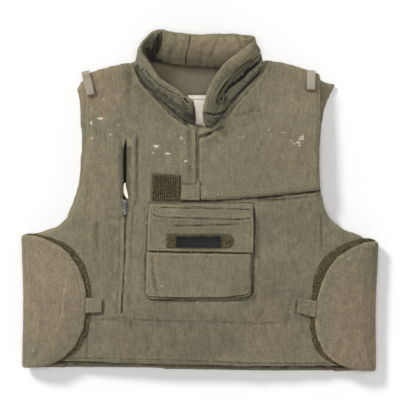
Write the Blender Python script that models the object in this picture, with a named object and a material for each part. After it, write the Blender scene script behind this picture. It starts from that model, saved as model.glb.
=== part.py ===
"""A padded flak vest, lying on its back with its collar open.

The vest is modelled at its real size in metres. +Z is up from the surface that it lies on, +Y runs
from the hem to the collar and +X is to the right as the vest is seen from above. The origin is under
the middle of the vest, on the surface that it lies on.

Every layer is laid on the one below it. The back panel is flat underneath, the front panel arches over
it and leaves room for the torso, and pockets, flaps and tapes follow the front panel's upper surface.
"""

import math

import bmesh
import bpy
from mathutils import Matrix, Vector

# Driving sizes of the whole vest
HALF_WIDTH = 0.285
GAP = 0.0003
OUTLINE_STEP = 0.020
PANEL_GRID = 0.030

# Padding
BACK_THICK = 0.014
FRONT_THICK = 0.012
CHEST_FLAP_THICK = 0.008
EDGE_ROLL = 0.0060
PIPED_ROLL = 0.003

# The arch of the front panel over the torso
TORSO_RISE = 0.022
ARCH_HALF_WIDTH = 0.272
ARCH_POWER = 2.2
ARCH_RUN = 0.17
HEM_Y = -0.264
HEM_SHARE = 0.62
HEM_RUN = 0.14
SHOULDER_TOP = 0.2315
SHOULDER_SLOPE = 0.133

# Side flaps: a wing of the back panel that wraps round the side and closes on the front panel
WING_THICK = 0.009
WING_SEAM_X = 0.2153
WING_WAIST = 0.0022
WING_SLANT = 0.0315
WING_ROUND = 0.018
WING_END = 0.0035
LOOP_TAPE_THICK = 0.0015

# Collar
COLLAR_HEIGHT = 0.066
COLLAR_STAND = 0.020
COLLAR_STATIONS_PER_ROW = 2
COLLAR_SLOT_AT = 0.62
FRONT_MEETS = (0.02, 0.08, 0.14, 0.20)
FLAP_MEETS = (0.12, 0.18, 0.25, 0.32)
COLLAR_WALL = ((0.0, 0.007), (0.25, 0.0120), (0.80, 0.0125), (1.0, 0.0085))
# The tightest bend: its row, its reach in rows and the share that the padding's inside gives up there
COLLAR_BEND = (13.0, 1.6, 0.75)

# Chest pocket
POCKET_BULGE = 0.0090
POCKET_CLOTH = 0.0020
POCKET_FLAP_THICK = 0.0030

# Tapes and tabs
TAPE_THICK = 0.0016
LABEL_THICK = 0.0008

# Folds and dents pressed into the front panel. Each is a groove from start to end.
FOLD_COLUMNS = ("name", "start_x", "start_y", "end_x", "end_y", "width", "depth")
FRONT_FOLDS = (
    ("neck_fold", -0.1100, 0.2160, -0.1136, 0.1780, 0.0065, 0.0045),
    ("armpit_fold", -0.1650, -0.0300, -0.1664, -0.0860, 0.0080, 0.0022),
    ("zip_welt", -0.0998, 0.0916, -0.0998, -0.0040, 0.0050, 0.0026),
    ("zip_welt_end", -0.0998, -0.0040, -0.1085, -0.0230, 0.0050, 0.0018),
    ("waist_seam", -0.1780, -0.1930, 0.1340, -0.1960, 0.0030, 0.0016),
)

# The collar's rows run from its left end, round the back of the neck, to its right end.
# front is 1 where the row is sewn to the front panel and 0 where it stands on the back panel.
COLLAR_COLUMNS = ("name", "base_x", "base_y", "top_x", "top_y", "front", "slot_half", "slot_depth")
COLLAR_ROWS = (
    ("left_end", -0.0064, 0.1240, -0.0104, 0.1576, 1, 0.0020, 0.0015),
    ("left_tip", -0.0240, 0.1304, -0.0248, 0.1656, 1, 0.0022, 0.0018),
    ("left_front", -0.0504, 0.1536, -0.0440, 0.1792, 1, 0.0022, 0.0018),
    ("left_neck", -0.0760, 0.1792, -0.0656, 0.1928, 1, 0.0022, 0.0018),
    ("left_turn", -0.0912, 0.1976, -0.0800, 0.2144, 1, 0.0022, 0.0018),
    ("left_side", -0.0987, 0.2128, -0.0904, 0.2288, 1, 0.0020, 0.0015),
    ("left_shoulder", -0.0971, 0.2227, -0.0936, 0.2440, 0, 0.0018, 0.0012),
    ("left_corner", -0.0848, 0.2256, -0.0816, 0.2592, 0, 0.0018, 0.0012),
    ("left_back", -0.0672, 0.2232, -0.0640, 0.2675, 0, 0.0018, 0.0012),
    ("back_left", -0.0432, 0.2192, -0.0320, 0.2616, 0, 0.0018, 0.0012),
    ("back", 0.0000, 0.2152, 0.0048, 0.2600, 0, 0.0018, 0.0012),
    ("back_right", 0.0448, 0.2136, 0.0416, 0.2616, 0, 0.0018, 0.0012),
    ("right_back", 0.0688, 0.2144, 0.0640, 0.2608, 0, 0.0020, 0.0015),
    ("right_corner", 0.0869, 0.2200, 0.0824, 0.2568, 0, 0.0028, 0.0022),
    ("right_side", 0.0949, 0.2131, 0.0776, 0.2472, 1, 0.0040, 0.0036),
    ("right_turn", 0.0885, 0.2008, 0.0560, 0.2296, 1, 0.0052, 0.0048),
    ("right_neck", 0.0691, 0.1824, 0.0378, 0.2154, 1, 0.0058, 0.0055),
    ("right_front", 0.0480, 0.1587, 0.0168, 0.1821, 1, 0.0056, 0.0052),
    ("right_tip", 0.0285, 0.1307, 0.0080, 0.1520, 1, 0.0032, 0.0030),
    ("right_end", 0.0117, 0.1158, 0.0064, 0.1384, 1, 0.0018, 0.0012),
)
COLLAR_LAST = len(COLLAR_ROWS) - 1.0

# The zip of the chest pocket: half width of the gap between its edges, from the top stop down.
ZIP_COLUMNS = ("x", "y", "half_gap")
ZIP_ROWS = (
    (-0.1176, 0.0985, 0.0004),
    (-0.1192, 0.0840, 0.0036),
    (-0.1196, 0.0600, 0.0034),
    (-0.1196, 0.0300, 0.0030),
    (-0.1196, 0.0040, 0.0024),
    (-0.1198, -0.0260, 0.0014),
    (-0.1210, -0.0640, 0.0008),
    (-0.1232, -0.1250, 0.0008),
    (-0.1256, -0.1840, 0.0004),
)
ZIP_DEPTH = 0.0080

OLIVE = ("olive_canvas", (0.215, 0.200, 0.140), 0.92, 0.0)
DARK_LOOP = ("loop_tape", (0.085, 0.078, 0.042), 0.98, 0.0)
PALE_TAPE = ("pale_tape", (0.400, 0.370, 0.290), 0.85, 0.0)
BLACK_RUBBER = ("black_rubber", (0.020, 0.020, 0.022), 0.55, 0.0)
WHITE_CLOTH = ("white_label", (0.780, 0.740, 0.680), 0.90, 0.0)
GREY_METAL = ("grey_metal", (0.200, 0.200, 0.210), 0.40, 1.0)
BLACK_ZIP = ("zip_tape", (0.045, 0.042, 0.032), 0.90, 0.0)


def named_rows(columns, rows):
    return [dict(zip(columns, row)) for row in rows]


def smoothstep(t):
    t = min(1.0, max(0.0, t))
    return t * t * (3.0 - 2.0 * t)


def catmull_rom(values, u):
    """The value at u of the smooth curve through values at 0, 1, 2 and so on."""
    last = len(values) - 1
    i = min(int(u), last - 1)
    t = u - i
    before = values[i - 1] if i > 0 else 2 * values[0] - values[1]
    after = values[i + 2] if i + 2 <= last else 2 * values[last] - values[last - 1]
    a, b = values[i], values[i + 1]
    return 0.5 * (
        2 * a + (b - before) * t + (2 * before - 5 * a + 4 * b - after) * t * t
        + (3 * a - before - 3 * b + after) * t * t * t
    )


def smooth_path(points, step=OUTLINE_STEP):
    """Points about one step apart on the smooth curve through the given ones, both ends included."""
    xs = [p[0] for p in points]
    ys = [p[1] for p in points]
    path = [points[0]]
    for i in range(len(points) - 1):
        run = math.dist(points[i], points[i + 1])
        parts = max(1, round(run / step))
        for k in range(1, parts + 1):
            u = i + k / parts
            path.append((catmull_rom(xs, u), catmull_rom(ys, u)))
    return path


def joined(*stretches):
    """A closed outline from stretches that follow each other. A point that repeats is kept once."""
    outline = []
    for point in (p for stretch in stretches for p in stretch):
        if not outline or math.dist(outline[-1], point) > 0.0005:
            outline.append(point)
    if math.dist(outline[0], outline[-1]) < 0.0005:
        outline.pop()
    return outline


def box_outline(corners, step=1.0):
    return joined(*(smooth_path([a, b], step) for a, b in zip(corners, corners[1:] + corners[:1])))


def distance_to_segment(x, y, a, b):
    """(distance, share of the way along) from a point to the segment a to b."""
    dx, dy = b[0] - a[0], b[1] - a[1]
    t = ((x - a[0]) * dx + (y - a[1]) * dy) / (dx * dx + dy * dy)
    t = min(1.0, max(0.0, t))
    return math.hypot(x - a[0] - t * dx, y - a[1] - t * dy), t


def distance_to_outline(x, y, outline):
    pairs = zip(outline, outline[1:] + outline[:1])
    return min(distance_to_segment(x, y, a, b)[0] for a, b in pairs)


# Heights of the layers over a place on the surface that the vest lies on


def arch(x, y):
    """Share of the torso's rise at a place: 0 at the sides and along the shoulders, 1 over the chest."""
    across = max(0.0, 1.0 - (abs(x) / ARCH_HALF_WIDTH) ** ARCH_POWER)
    shoulder = SHOULDER_TOP - SHOULDER_SLOPE * abs(x)
    above_hem = HEM_SHARE + (1.0 - HEM_SHARE) * smoothstep((y - HEM_Y) / HEM_RUN)
    return across * smoothstep((shoulder - y) / ARCH_RUN) * above_hem


def front_under(x, y):
    return BACK_THICK + GAP + TORSO_RISE * arch(x, y)


def fold_depth(x, y):
    depth = 0.0
    for fold in named_rows(FOLD_COLUMNS, FRONT_FOLDS):
        start = (fold["start_x"], fold["start_y"])
        end = (fold["end_x"], fold["end_y"])
        away, _ = distance_to_segment(x, y, start, end)
        depth = max(depth, fold["depth"] * math.exp(-((away / fold["width"]) ** 2)))
    return depth


def front_top(x, y):
    return front_under(x, y) + FRONT_THICK - fold_depth(x, y)


def chest_flap_top(x, y):
    return front_top(x, y) + GAP + CHEST_FLAP_THICK


def wing_under(x, y):
    """Underside of a side flap where it lies on the front panel and its loop tape."""
    return front_under(x, y) + FRONT_THICK + LOOP_TAPE_THICK + 2 * GAP


# Building blocks


def material(finish):
    name, colour, roughness, metallic = finish
    found = bpy.data.materials.get(name)
    if found:
        return found
    made = bpy.data.materials.new(name)
    made.use_nodes = True
    shader = made.node_tree.nodes["Principled BSDF"]
    shader.inputs["Base Color"].default_value = (*colour, 1.0)
    shader.inputs["Roughness"].default_value = roughness
    shader.inputs["Metallic"].default_value = metallic
    return made


def finished(name, bm, finish):
    """An object from a closed bmesh, with its faces pointing out and its material set."""
    bmesh.ops.recalc_face_normals(bm, faces=bm.faces[:])
    mesh = bpy.data.meshes.new(name)
    bm.to_mesh(mesh)
    bm.free()
    mesh.shade_smooth()
    mesh.set_sharp_from_angle(angle=math.radians(50))
    mesh.materials.append(material(finish))
    obj = bpy.data.objects.new(name, mesh)
    bpy.context.scene.collection.objects.link(obj)
    return obj


def slice_faces(bm, faces, point, normal):
    """Cuts the given faces by a plane and keeps both sides."""
    edges = {e for f in faces for e in f.edges}
    verts = {v for f in faces for v in f.verts}
    bmesh.ops.bisect_plane(
        bm, geom=[*verts, *edges, *faces], dist=1e-5, plane_co=point, plane_no=normal
    )


def slice_folds(bm, folds):
    """Adds edges along and beside each fold, so that its groove has a shape of its own."""
    for fold in folds:
        start = Vector((fold["start_x"], fold["start_y"], 0))
        end = Vector((fold["end_x"], fold["end_y"], 0))
        along = (end - start).normalized()
        side = Vector((-along.y, along.x, 0))
        reach = 2.0 * fold["width"]

        def near(face):
            centre = face.calc_center_median()
            return distance_to_segment(centre.x, centre.y, start, end)[0] < reach + 0.012

        for offset in (-reach, -0.6 * reach, 0.0, 0.6 * reach, reach):
            slice_faces(bm, [f for f in bm.faces if near(f)], start + side * offset, side)
        for share in (-0.02, 0.25, 0.5, 0.75, 1.02):
            slice_faces(bm, [f for f in bm.faces if near(f)], start.lerp(end, share), along)


def panel(name, outline, under, top, finish, roll=EDGE_ROLL, grid=PANEL_GRID, folds=(), rim=(0.32, 0.50)):
    """A padded panel: an outline laid over the heights under and top, with its rim rolled in.

    rim holds the shares of the thickness that the rim gives up underneath and on top.
    """
    rings = (0.3, 0.7) if roll > 0.004 else (1.0,) if roll else ()
    bm = bmesh.new()
    face = bm.faces.new([bm.verts.new((x, y, 0.0)) for x, y in outline])
    for share in rings:
        face.normal_update()
        bmesh.ops.inset_region(
            bm, faces=[face], thickness=roll * share, use_even_offset=True, use_boundary=True
        )
    for axis in (0, 1):
        low = min(p[axis] for p in outline)
        high = max(p[axis] for p in outline)
        normal = [0.0, 0.0, 0.0]
        normal[axis] = 1.0
        for k in range(math.ceil(low / grid), math.floor(high / grid) + 1):
            place = [0.0, 0.0, 0.0]
            place[axis] = k * grid
            if min(place[axis] - low, high - place[axis]) > 0.004:
                slice_faces(bm, bm.faces[:], place, normal)
    slice_folds(bm, folds)
    raised = bmesh.ops.extrude_face_region(bm, geom=bm.faces[:])["geom"]
    upper = {v for v in raised if isinstance(v, bmesh.types.BMVert)}
    for v in bm.verts:
        x, y = v.co.x, v.co.y
        inside = min(1.0, distance_to_outline(x, y, outline) / roll) if roll else 1.0
        drop = 1.0 - math.sqrt(1.0 - (1.0 - inside) ** 2)
        thick = top(x, y) - under(x, y)
        if v in upper:
            v.co.z = top(x, y) - drop * rim[1] * thick
        else:
            v.co.z = under(x, y) + drop * rim[0] * thick
    bmesh.ops.triangulate(bm, faces=bm.faces[:])
    return finished(name, bm, finish)


def bridged(name, rings, finish, ladder=False):
    """A solid through rings of the same number of points, capped at both ends.

    A ladder cap suits a ring that runs along one side of a bent wall and back along the other.
    """
    bm = bmesh.new()
    made = [[bm.verts.new(p) for p in ring] for ring in rings]
    count = len(rings[0])
    for a, b in zip(made, made[1:]):
        for k in range(count):
            m = (k + 1) % count
            bm.faces.new((a[k], a[m], b[m], b[k]))
    for cap in (list(reversed(made[0])), made[-1]):
        if ladder:
            for k in range(count // 2 - 1):
                bm.faces.new((cap[k], cap[k + 1], cap[-2 - k], cap[-1 - k]))
        else:
            bm.faces.new(cap)
    bmesh.ops.triangulate(bm, faces=bm.faces[:])
    return finished(name, bm, finish)


def subtract(obj, cutter):
    """Cuts one object by another, which stays in the scene as a wire helper."""
    cutter.hide_render = True
    cutter.display_type = "WIRE"
    cut = obj.modifiers.new("cut", "BOOLEAN")
    cut.operation = "DIFFERENCE"
    cut.object = cutter


# Collar


def collar_wall(s):
    """Thickness of the collar at a share of its height."""
    for (s0, t0), (s1, t1) in zip(COLLAR_WALL, COLLAR_WALL[1:]):
        if s <= s1:
            return t0 + (t1 - t0) * (s - s0) / (s1 - s0)
    return COLLAR_WALL[-1][1]


def collar_spine(u, s):
    """The middle of the collar's wall at row u and at a share s of its height."""
    row = {
        key: catmull_rom([r[key] for r in named_rows(COLLAR_COLUMNS, COLLAR_ROWS)], u)
        for key in COLLAR_COLUMNS[1:5]
    }
    front = collar_column("front", u)
    x, y = row["base_x"], row["base_y"]
    base = Vector((x, y, BACK_THICK + GAP + TORSO_RISE * arch(x, y) * front))
    lean = math.dist((x, y), (row["top_x"], row["top_y"]))
    rise = math.sqrt(COLLAR_HEIGHT**2 - lean**2)
    top = Vector((row["top_x"], row["top_y"], base.z + rise))
    stand = base + Vector((0.0, 0.0, COLLAR_STAND))
    return (1 - s) ** 2 * base + 2 * s * (1 - s) * stand + s * s * top


def collar_column(key, u):
    """A column of the collar's table at row u, straight between rows."""
    values = [r[key] for r in named_rows(COLLAR_COLUMNS, COLLAR_ROWS)]
    i = min(int(u), len(values) - 2)
    return values[i] + (values[i + 1] - values[i]) * (u - i)


def collar_normal(u, s):
    """Direction out of the collar's outer face."""
    d = 0.02
    along = collar_spine(min(COLLAR_LAST, u + d), s) - collar_spine(max(0.0, u - d), s)
    up = collar_spine(u, min(1.0, s + d)) - collar_spine(u, max(0.0, s - d))
    return up.cross(along).normalized()


def collar_outer(u, s, proud=0.0):
    return collar_spine(u, s) + collar_normal(u, s) * (collar_wall(s) / 2 + proud)


def collar_stations():
    count = round(COLLAR_LAST * COLLAR_STATIONS_PER_ROW)
    return [k / COLLAR_STATIONS_PER_ROW for k in range(count + 1)]


def collar_ring(u, ends):
    """One section round the collar's wall: up its outer face, over the top and down its inner face."""
    half = collar_column("slot_half", u) / COLLAR_HEIGHT
    depth = collar_column("slot_depth", u)
    full = 0.72 if u in ends else 1.0
    bend_row, bend_reach, bend_share = COLLAR_BEND
    inside = full * (1.0 - bend_share * smoothstep(1.0 - abs(u - bend_row) / bend_reach))
    outer = [(s, 0.0) for s in (0.0, 0.10, 0.25, 0.40)]
    high = COLLAR_SLOT_AT + half
    outer += [(COLLAR_SLOT_AT - half, 0.0), (COLLAR_SLOT_AT, depth), (high, 0.0)]
    outer += [((high + 0.94) / 2, 0.0), (0.94, 0.0)]
    ring = []
    for s, cut in outer:
        wall = collar_wall(s) / 2 * full - cut
        ring.append(collar_spine(u, s) + collar_normal(u, s) * wall)
    top = collar_spine(u, 1.0)
    up = (top - collar_spine(u, 0.94)).normalized()
    ring.append(top + collar_normal(u, 1.0) * 0.0025 * full + up * 0.0014)
    ring.append(top - collar_normal(u, 1.0) * 0.0025 * inside + up * 0.0014)
    for s in (0.94, 0.75, 0.50, 0.25, 0.0):
        ring.append(collar_spine(u, s) - collar_normal(u, s) * collar_wall(s) / 2 * inside)
    return ring


def make_collar():
    stations = collar_stations()
    ends = (stations[0], stations[-1])
    inset = 0.22
    stations = [ends[0], ends[0] + inset, *stations[1:-1], ends[1] - inset, ends[1]]
    bridged("collar", [collar_ring(u, ends) for u in stations], OLIVE)


def neckline(first, last, shares):
    """A layer's edge along the collar between two rows, one seam gap off the shares it passes."""
    count = round(abs(last - first) * COLLAR_STATIONS_PER_ROW)
    edge = []
    for k in range(count + 1):
        u = first + (last - first) * k / count
        out = collar_normal(u, shares[0])
        met = [collar_outer(u, s, proud=3 * GAP) for s in shares]
        p = max(met, key=lambda m: m.x * out.x + m.y * out.y)
        edge.append((p.x, p.y))
    return edge


def collar_strip(name, first, last, above, height, thick, finish, parts, proud=0.0006):
    """A tape on the collar's outer face between two rows, at a share of its height above the slot."""
    rings = []
    for k in range(parts + 1):
        u = first + (last - first) * k / parts
        s0 = COLLAR_SLOT_AT + above
        s1 = s0 + height
        rings.append([
            collar_outer(u, s0, proud), collar_outer(u, s1, proud),
            collar_outer(u, s1, proud + thick), collar_outer(u, s0, proud + thick),
        ])
    bridged(name, rings, finish)


# Outlines


LEFT_ARMHOLE_FRONT = [
    (-0.262, -0.0560), (-0.2440, -0.0480), (-0.2200, -0.0350), (-0.2020, -0.0100), (-0.1910, 0.0200),
    (-0.1840, 0.0630), (-0.1820, 0.1140), (-0.1830, 0.1670), (-0.1850, 0.1900),
]
LEFT_SHOULDER = [(-0.1800, 0.2025), (-0.1630, 0.2085), (-0.1440, 0.2140), (-0.1080, 0.2215)]
RIGHT_SHOULDER = [(0.1030, 0.2230), (0.1330, 0.2195), (0.1680, 0.2090), (0.1912, 0.2010)]
RIGHT_ARMHOLE_FRONT = [
    (0.1925, 0.1940), (0.1920, 0.1200), (0.1890, 0.0580), (0.1950, 0.0020), (0.2080, -0.0300),
    (0.2330, -0.0495), (0.262, -0.0610),
]
FRONT_HEM = [(0.262, -0.2640), (0.120, -0.2650), (-0.040, -0.2630), (-0.180, -0.2585), (-0.262, -0.2590)]

LEFT_ARMHOLE_BACK = [
    (-0.2150, -0.0275), (-0.2074, -0.0120), (-0.1966, 0.0170), (-0.1908, 0.0600), (-0.1902, 0.1140),
    (-0.1930, 0.1600), (-0.1968, 0.1780),
]
LEFT_SHOULDER_BACK = [(-0.1905, 0.1895), (-0.1640, 0.2050), (-0.1440, 0.2115), (-0.1060, 0.2205)]
BACK_NECK = [
    (-0.0990, 0.2265), (-0.0820, 0.2310), (-0.0660, 0.2285), (-0.0400, 0.2245), (0.0, 0.2215),
    (0.0450, 0.2205), (0.0740, 0.2225), (0.0890, 0.2270), (0.0985, 0.2235),
]
RIGHT_SHOULDER_BACK = [(0.1030, 0.2215), (0.1330, 0.2175), (0.1680, 0.2065), (0.1880, 0.1980)]
RIGHT_ARMHOLE_BACK_CORNER = [(0.1970, 0.1885)]
RIGHT_ARMHOLE_BACK = [
    (0.2170, 0.1865), (0.2035, 0.1600), (0.1968, 0.1350), (0.1935, 0.1050), (0.1905, 0.0560),
    (0.1960, 0.0020), (0.2070, -0.0290), (0.2150, -0.0380),
]
BACK_HEM = [(0.2150, -0.2735), (0.0600, -0.2730), (-0.0900, -0.2690), (-0.2150, -0.2680)]

# Front edge of each side flap, from its top corner round to its bottom corner
LEFT_FLAP_EDGE = [
    (-0.2640, -0.0600), (-0.2400, -0.0660), (-0.2120, -0.0850), (-0.1952, -0.1090), (-0.1860, -0.1340),
    (-0.1832, -0.1660), (-0.1880, -0.2060), (-0.2010, -0.2330), (-0.2170, -0.2520), (-0.2410, -0.2650),
    (-0.2640, -0.2680),
]
RIGHT_FLAP_EDGE = [
    (0.2640, -0.0690), (0.2450, -0.0770), (0.2230, -0.0920), (0.2060, -0.1110), (0.1960, -0.1320),
    (0.1890, -0.1560), (0.1850, -0.1900), (0.1890, -0.2200), (0.1985, -0.2410), (0.2130, -0.2570),
    (0.2310, -0.2680), (0.2640, -0.2735),
]

# Outer edge of the loop tape that shows beyond each side flap
LEFT_LOOP_EDGE = [
    (-0.2560, -0.0575), (-0.2350, -0.0600), (-0.2120, -0.0720), (-0.1930, -0.0920), (-0.1800, -0.1250),
    (-0.1735, -0.1560), (-0.1740, -0.1880), (-0.1810, -0.2180), (-0.1960, -0.2430), (-0.2150, -0.2555),
]
RIGHT_LOOP_EDGE = [
    (0.2560, -0.0630), (0.2320, -0.0710), (0.2090, -0.0870), (0.1900, -0.1120), (0.1795, -0.1400),
    (0.1755, -0.1700), (0.1765, -0.2020), (0.1830, -0.2290), (0.1980, -0.2500), (0.2120, -0.2590),
]
LOOP_TAPE_WIDTH = 0.026


def make_back_panel():
    outline = joined(
        smooth_path(LEFT_ARMHOLE_BACK), smooth_path(LEFT_SHOULDER_BACK), smooth_path(BACK_NECK),
        smooth_path(RIGHT_SHOULDER_BACK), RIGHT_ARMHOLE_BACK_CORNER, smooth_path(RIGHT_ARMHOLE_BACK),
        smooth_path([RIGHT_ARMHOLE_BACK[-1], BACK_HEM[0]], 0.04), smooth_path(BACK_HEM, 0.03),
        smooth_path([BACK_HEM[-1], LEFT_ARMHOLE_BACK[0]], 0.04),
    )
    panel("back_panel", outline, lambda x, y: 0.0, lambda x, y: BACK_THICK, OLIVE, grid=0.09)


def front_outline():
    left_seam = neckline(5.0, 0.0, FRONT_MEETS)
    right_seam = neckline(COLLAR_LAST, 14.0, FRONT_MEETS)
    return joined(
        smooth_path(LEFT_ARMHOLE_FRONT), smooth_path(LEFT_SHOULDER), left_seam, right_seam,
        smooth_path(RIGHT_SHOULDER), smooth_path(RIGHT_ARMHOLE_FRONT),
        smooth_path([RIGHT_ARMHOLE_FRONT[-1], FRONT_HEM[0]], 0.03), smooth_path(FRONT_HEM, 0.03),
        smooth_path([FRONT_HEM[-1], LEFT_ARMHOLE_FRONT[0]], 0.03),
    )


def zip_outline(extra=0.0, rows=ZIP_ROWS):
    """The gap between the pocket zip's edges, as a closed outline widened by extra."""
    named = named_rows(ZIP_COLUMNS, rows)
    left = [(r["x"] - r["half_gap"] - extra, r["y"]) for r in named]
    right = [(r["x"] + r["half_gap"] + extra, r["y"]) for r in reversed(named)]
    return left + right


def make_front_panel():
    folds = named_rows(FOLD_COLUMNS, FRONT_FOLDS)
    front = panel("front_panel", front_outline(), front_under, front_top, OLIVE, folds=folds)
    slit = panel(
        "zip_slit_cutter", zip_outline(), lambda x, y: front_top(x, y) - ZIP_DEPTH,
        lambda x, y: front_top(x, y) + 0.01, OLIVE, roll=0.0, grid=0.04,
    )
    subtract(front, slit)


def make_chest_flap():
    seam = neckline(COLLAR_LAST, 14.0, FLAP_MEETS)
    outline = joined(
        smooth_path([(0.0012, -0.0003), (0.0008, 0.0500), (0.0008, 0.0900), (0.0008, 0.1120)], 0.022), seam,
        smooth_path(RIGHT_SHOULDER), [(0.1925, 0.1940), (0.1920, 0.1200)],
        smooth_path([(0.1890, 0.0580), (0.1925, 0.0180)]),
        smooth_path([(0.1880, 0.0155), (0.1120, 0.0075), (0.0600, 0.0025), (0.0012, -0.0003)], 0.022),
    )
    panel(
        "chest_flap", outline, lambda x, y: front_top(x, y) + GAP, chest_flap_top, OLIVE,
        roll=0.0035, rim=(0.10, 0.40),
    )


def laid_tape(name, outline, surface, thick, finish, grid=0.03, roll=0.0, lift=GAP):
    """A thin piece that follows a surface. lift is its height over that surface."""
    panel(
        name, outline, lambda x, y: surface(x, y) + lift, lambda x, y: surface(x, y) + lift + thick,
        finish, roll=roll, grid=grid, rim=(0.0, 0.5),
    )


def make_front_closure():
    under_flap = joined(
        smooth_path([(0.0002, -0.0008), (0.0002, 0.1150)], 0.030),
        smooth_path([(-0.0048, 0.1150), (-0.0048, 0.0250)], 0.030),
        [(-0.0300, 0.0246), (-0.0302, 0.0002)],
    )
    laid_tape("closure_tongue", under_flap, front_top, 0.0040, OLIVE, roll=0.0015)
    square = box_outline([(-0.0760, 0.0412), (-0.0770, -0.0003), (-0.0330, -0.0009), (-0.0318, 0.0386)], 0.03)
    laid_tape("loop_square", square, front_top, LOOP_TAPE_THICK, DARK_LOOP)


# Chest pocket


POCKET_TOP_Y = -0.0230
POCKET_OUTLINE = [
    (-0.0830, -0.0230), (-0.0868, -0.1480), (-0.0830, -0.1555), (-0.0760, -0.1578), (0.0600, -0.1555),
    (0.0780, -0.1530), (0.0820, -0.1490), (0.0815, -0.0230),
]
POCKET_ROOM = [
    (-0.0802, -0.0200), (-0.0838, -0.1472), (-0.0812, -0.1530), (-0.0750, -0.1548), (0.0595, -0.1526),
    (0.0765, -0.1503), (0.0790, -0.1475), (0.0787, -0.0200),
]
POCKET_FLAP_OUTLINE = [
    (-0.0806, -0.0058), (-0.0832, -0.0450), (-0.0835, -0.0810), (0.0000, -0.0826), (0.0850, -0.0842),
    (0.0856, -0.0450), (0.0845, -0.0050), (0.0300, -0.0056),
]


def pocket_top(x, y):
    return front_top(x, y) + GAP + POCKET_BULGE


def flap_under(x, y):
    """The flap is sewn down above the pocket, climbs over its mouth and then lies on it."""
    climb = smoothstep((POCKET_TOP_Y + 0.0150 - y) / 0.0150)
    return front_top(x, y) + GAP + (POCKET_BULGE + GAP) * climb


def flap_top(x, y):
    return flap_under(x, y) + POCKET_FLAP_THICK


def make_pocket():
    outline = box_outline(POCKET_OUTLINE, 0.030)
    body = panel(
        "pocket_body", outline, lambda x, y: front_top(x, y) + GAP, pocket_top, OLIVE,
        roll=PIPED_ROLL, rim=(0.0, 0.25),
    )
    room = box_outline(POCKET_ROOM, 0.040)
    hollow = panel(
        "pocket_room_cutter", room, lambda x, y: front_top(x, y) - 0.003,
        lambda x, y: pocket_top(x, y) - POCKET_CLOTH, OLIVE, roll=0.0, grid=0.05,
    )
    subtract(body, hollow)
    flap = box_outline(POCKET_FLAP_OUTLINE, 0.030)
    panel(
        "pocket_flap", flap, flap_under, flap_top, OLIVE, roll=0.0015, rim=(0.0, 0.5), grid=0.0125,
    )
    rounded_end = [
        (0.0430 + 0.0104 * math.sin(a), -0.0653 + 0.0104 * math.cos(a))
        for a in (math.radians(d) for d in (0, 30, 60, 90, 120, 150, 180))
    ]
    strip = joined([(-0.0530, -0.0549)], rounded_end, [(-0.0530, -0.0757)])
    laid_tape("flap_loop_strip", strip, flap_top, LOOP_TAPE_THICK, DARK_LOOP)
    patch = rounded_box((-0.0384, -0.0760), (0.0328, -0.0580), 0.0030)
    laid_tape(
        "blank_patch", patch, flap_top, 0.0026, BLACK_RUBBER, roll=0.0012, lift=LOOP_TAPE_THICK + 2 * GAP,
    )


def rounded_box(low, high, radius, steps=3):
    """A box outline with round corners, anticlockwise from the lower right."""
    centres = (
        (high[0] - radius, low[1] + radius, -90), (high[0] - radius, high[1] - radius, 0),
        (low[0] + radius, high[1] - radius, 90), (low[0] + radius, low[1] + radius, 180),
    )
    outline = []
    for cx, cy, start in centres:
        for k in range(steps + 1):
            a = math.radians(start + 90 * k / steps)
            outline.append((cx + radius * math.cos(a), cy + radius * math.sin(a)))
    return outline


# Side flaps


def wing_ring(side, edge_x, y, half_width, slant, thick):
    """A section through the wing: along the floor, round the fold and back over the front panel."""
    fold_x = half_width - WING_ROUND
    reach = min(abs(edge_x), fold_x - 0.003)
    under = wing_under(fold_x, y)
    top = under + thick
    lift = WING_THICK - thick
    arc = [math.radians(a) for a in (-90, -54, -18, 18, 54, 90)]
    outer = [(WING_SEAM_X, lift), (0.2320, lift), (0.2500, lift)]
    middle = (top + lift) / 2
    outer += [(fold_x + WING_ROUND * math.cos(a), middle + (top - middle) * math.sin(a)) for a in arc]
    leg = [fold_x + (reach - fold_x) * k / 4 for k in range(1, 5)]
    outer += [(x, wing_under(x, y) + thick * (0.72 if x == leg[-1] else 1.0)) for x in leg]
    inner_round = WING_ROUND - WING_THICK
    inner_middle = (under + WING_THICK) / 2
    inner = [(x, wing_under(x, y) + thick * (0.16 if x == leg[-1] else 0.0)) for x in reversed(leg)]
    inner += [
        (fold_x + inner_round * math.cos(a), inner_middle + (under - inner_middle) * math.sin(a))
        for a in reversed(arc)
    ]
    inner += [(0.2500, WING_THICK), (0.2320, WING_THICK), (WING_SEAM_X, WING_THICK)]
    ring = []
    for k, (x, z) in enumerate(outer + inner):
        on_floor = k < 6 or k >= len(outer) + len(inner) - 6
        shift = slant * ((half_width - x) / (half_width - WING_SEAM_X)) ** 2 if on_floor else 0.0
        ring.append((side * x, y + shift, z))
    return ring if side > 0 else list(reversed(ring))


def edge_at(path, y):
    """The point where a path that runs down in y reaches a height y."""
    for a, b in zip(path, path[1:]):
        if a[1] >= y >= b[1]:
            return (a[0] + (b[0] - a[0]) * (a[1] - y) / (a[1] - b[1]), y)
    raise ValueError("the path doesn't reach this height")


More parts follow.
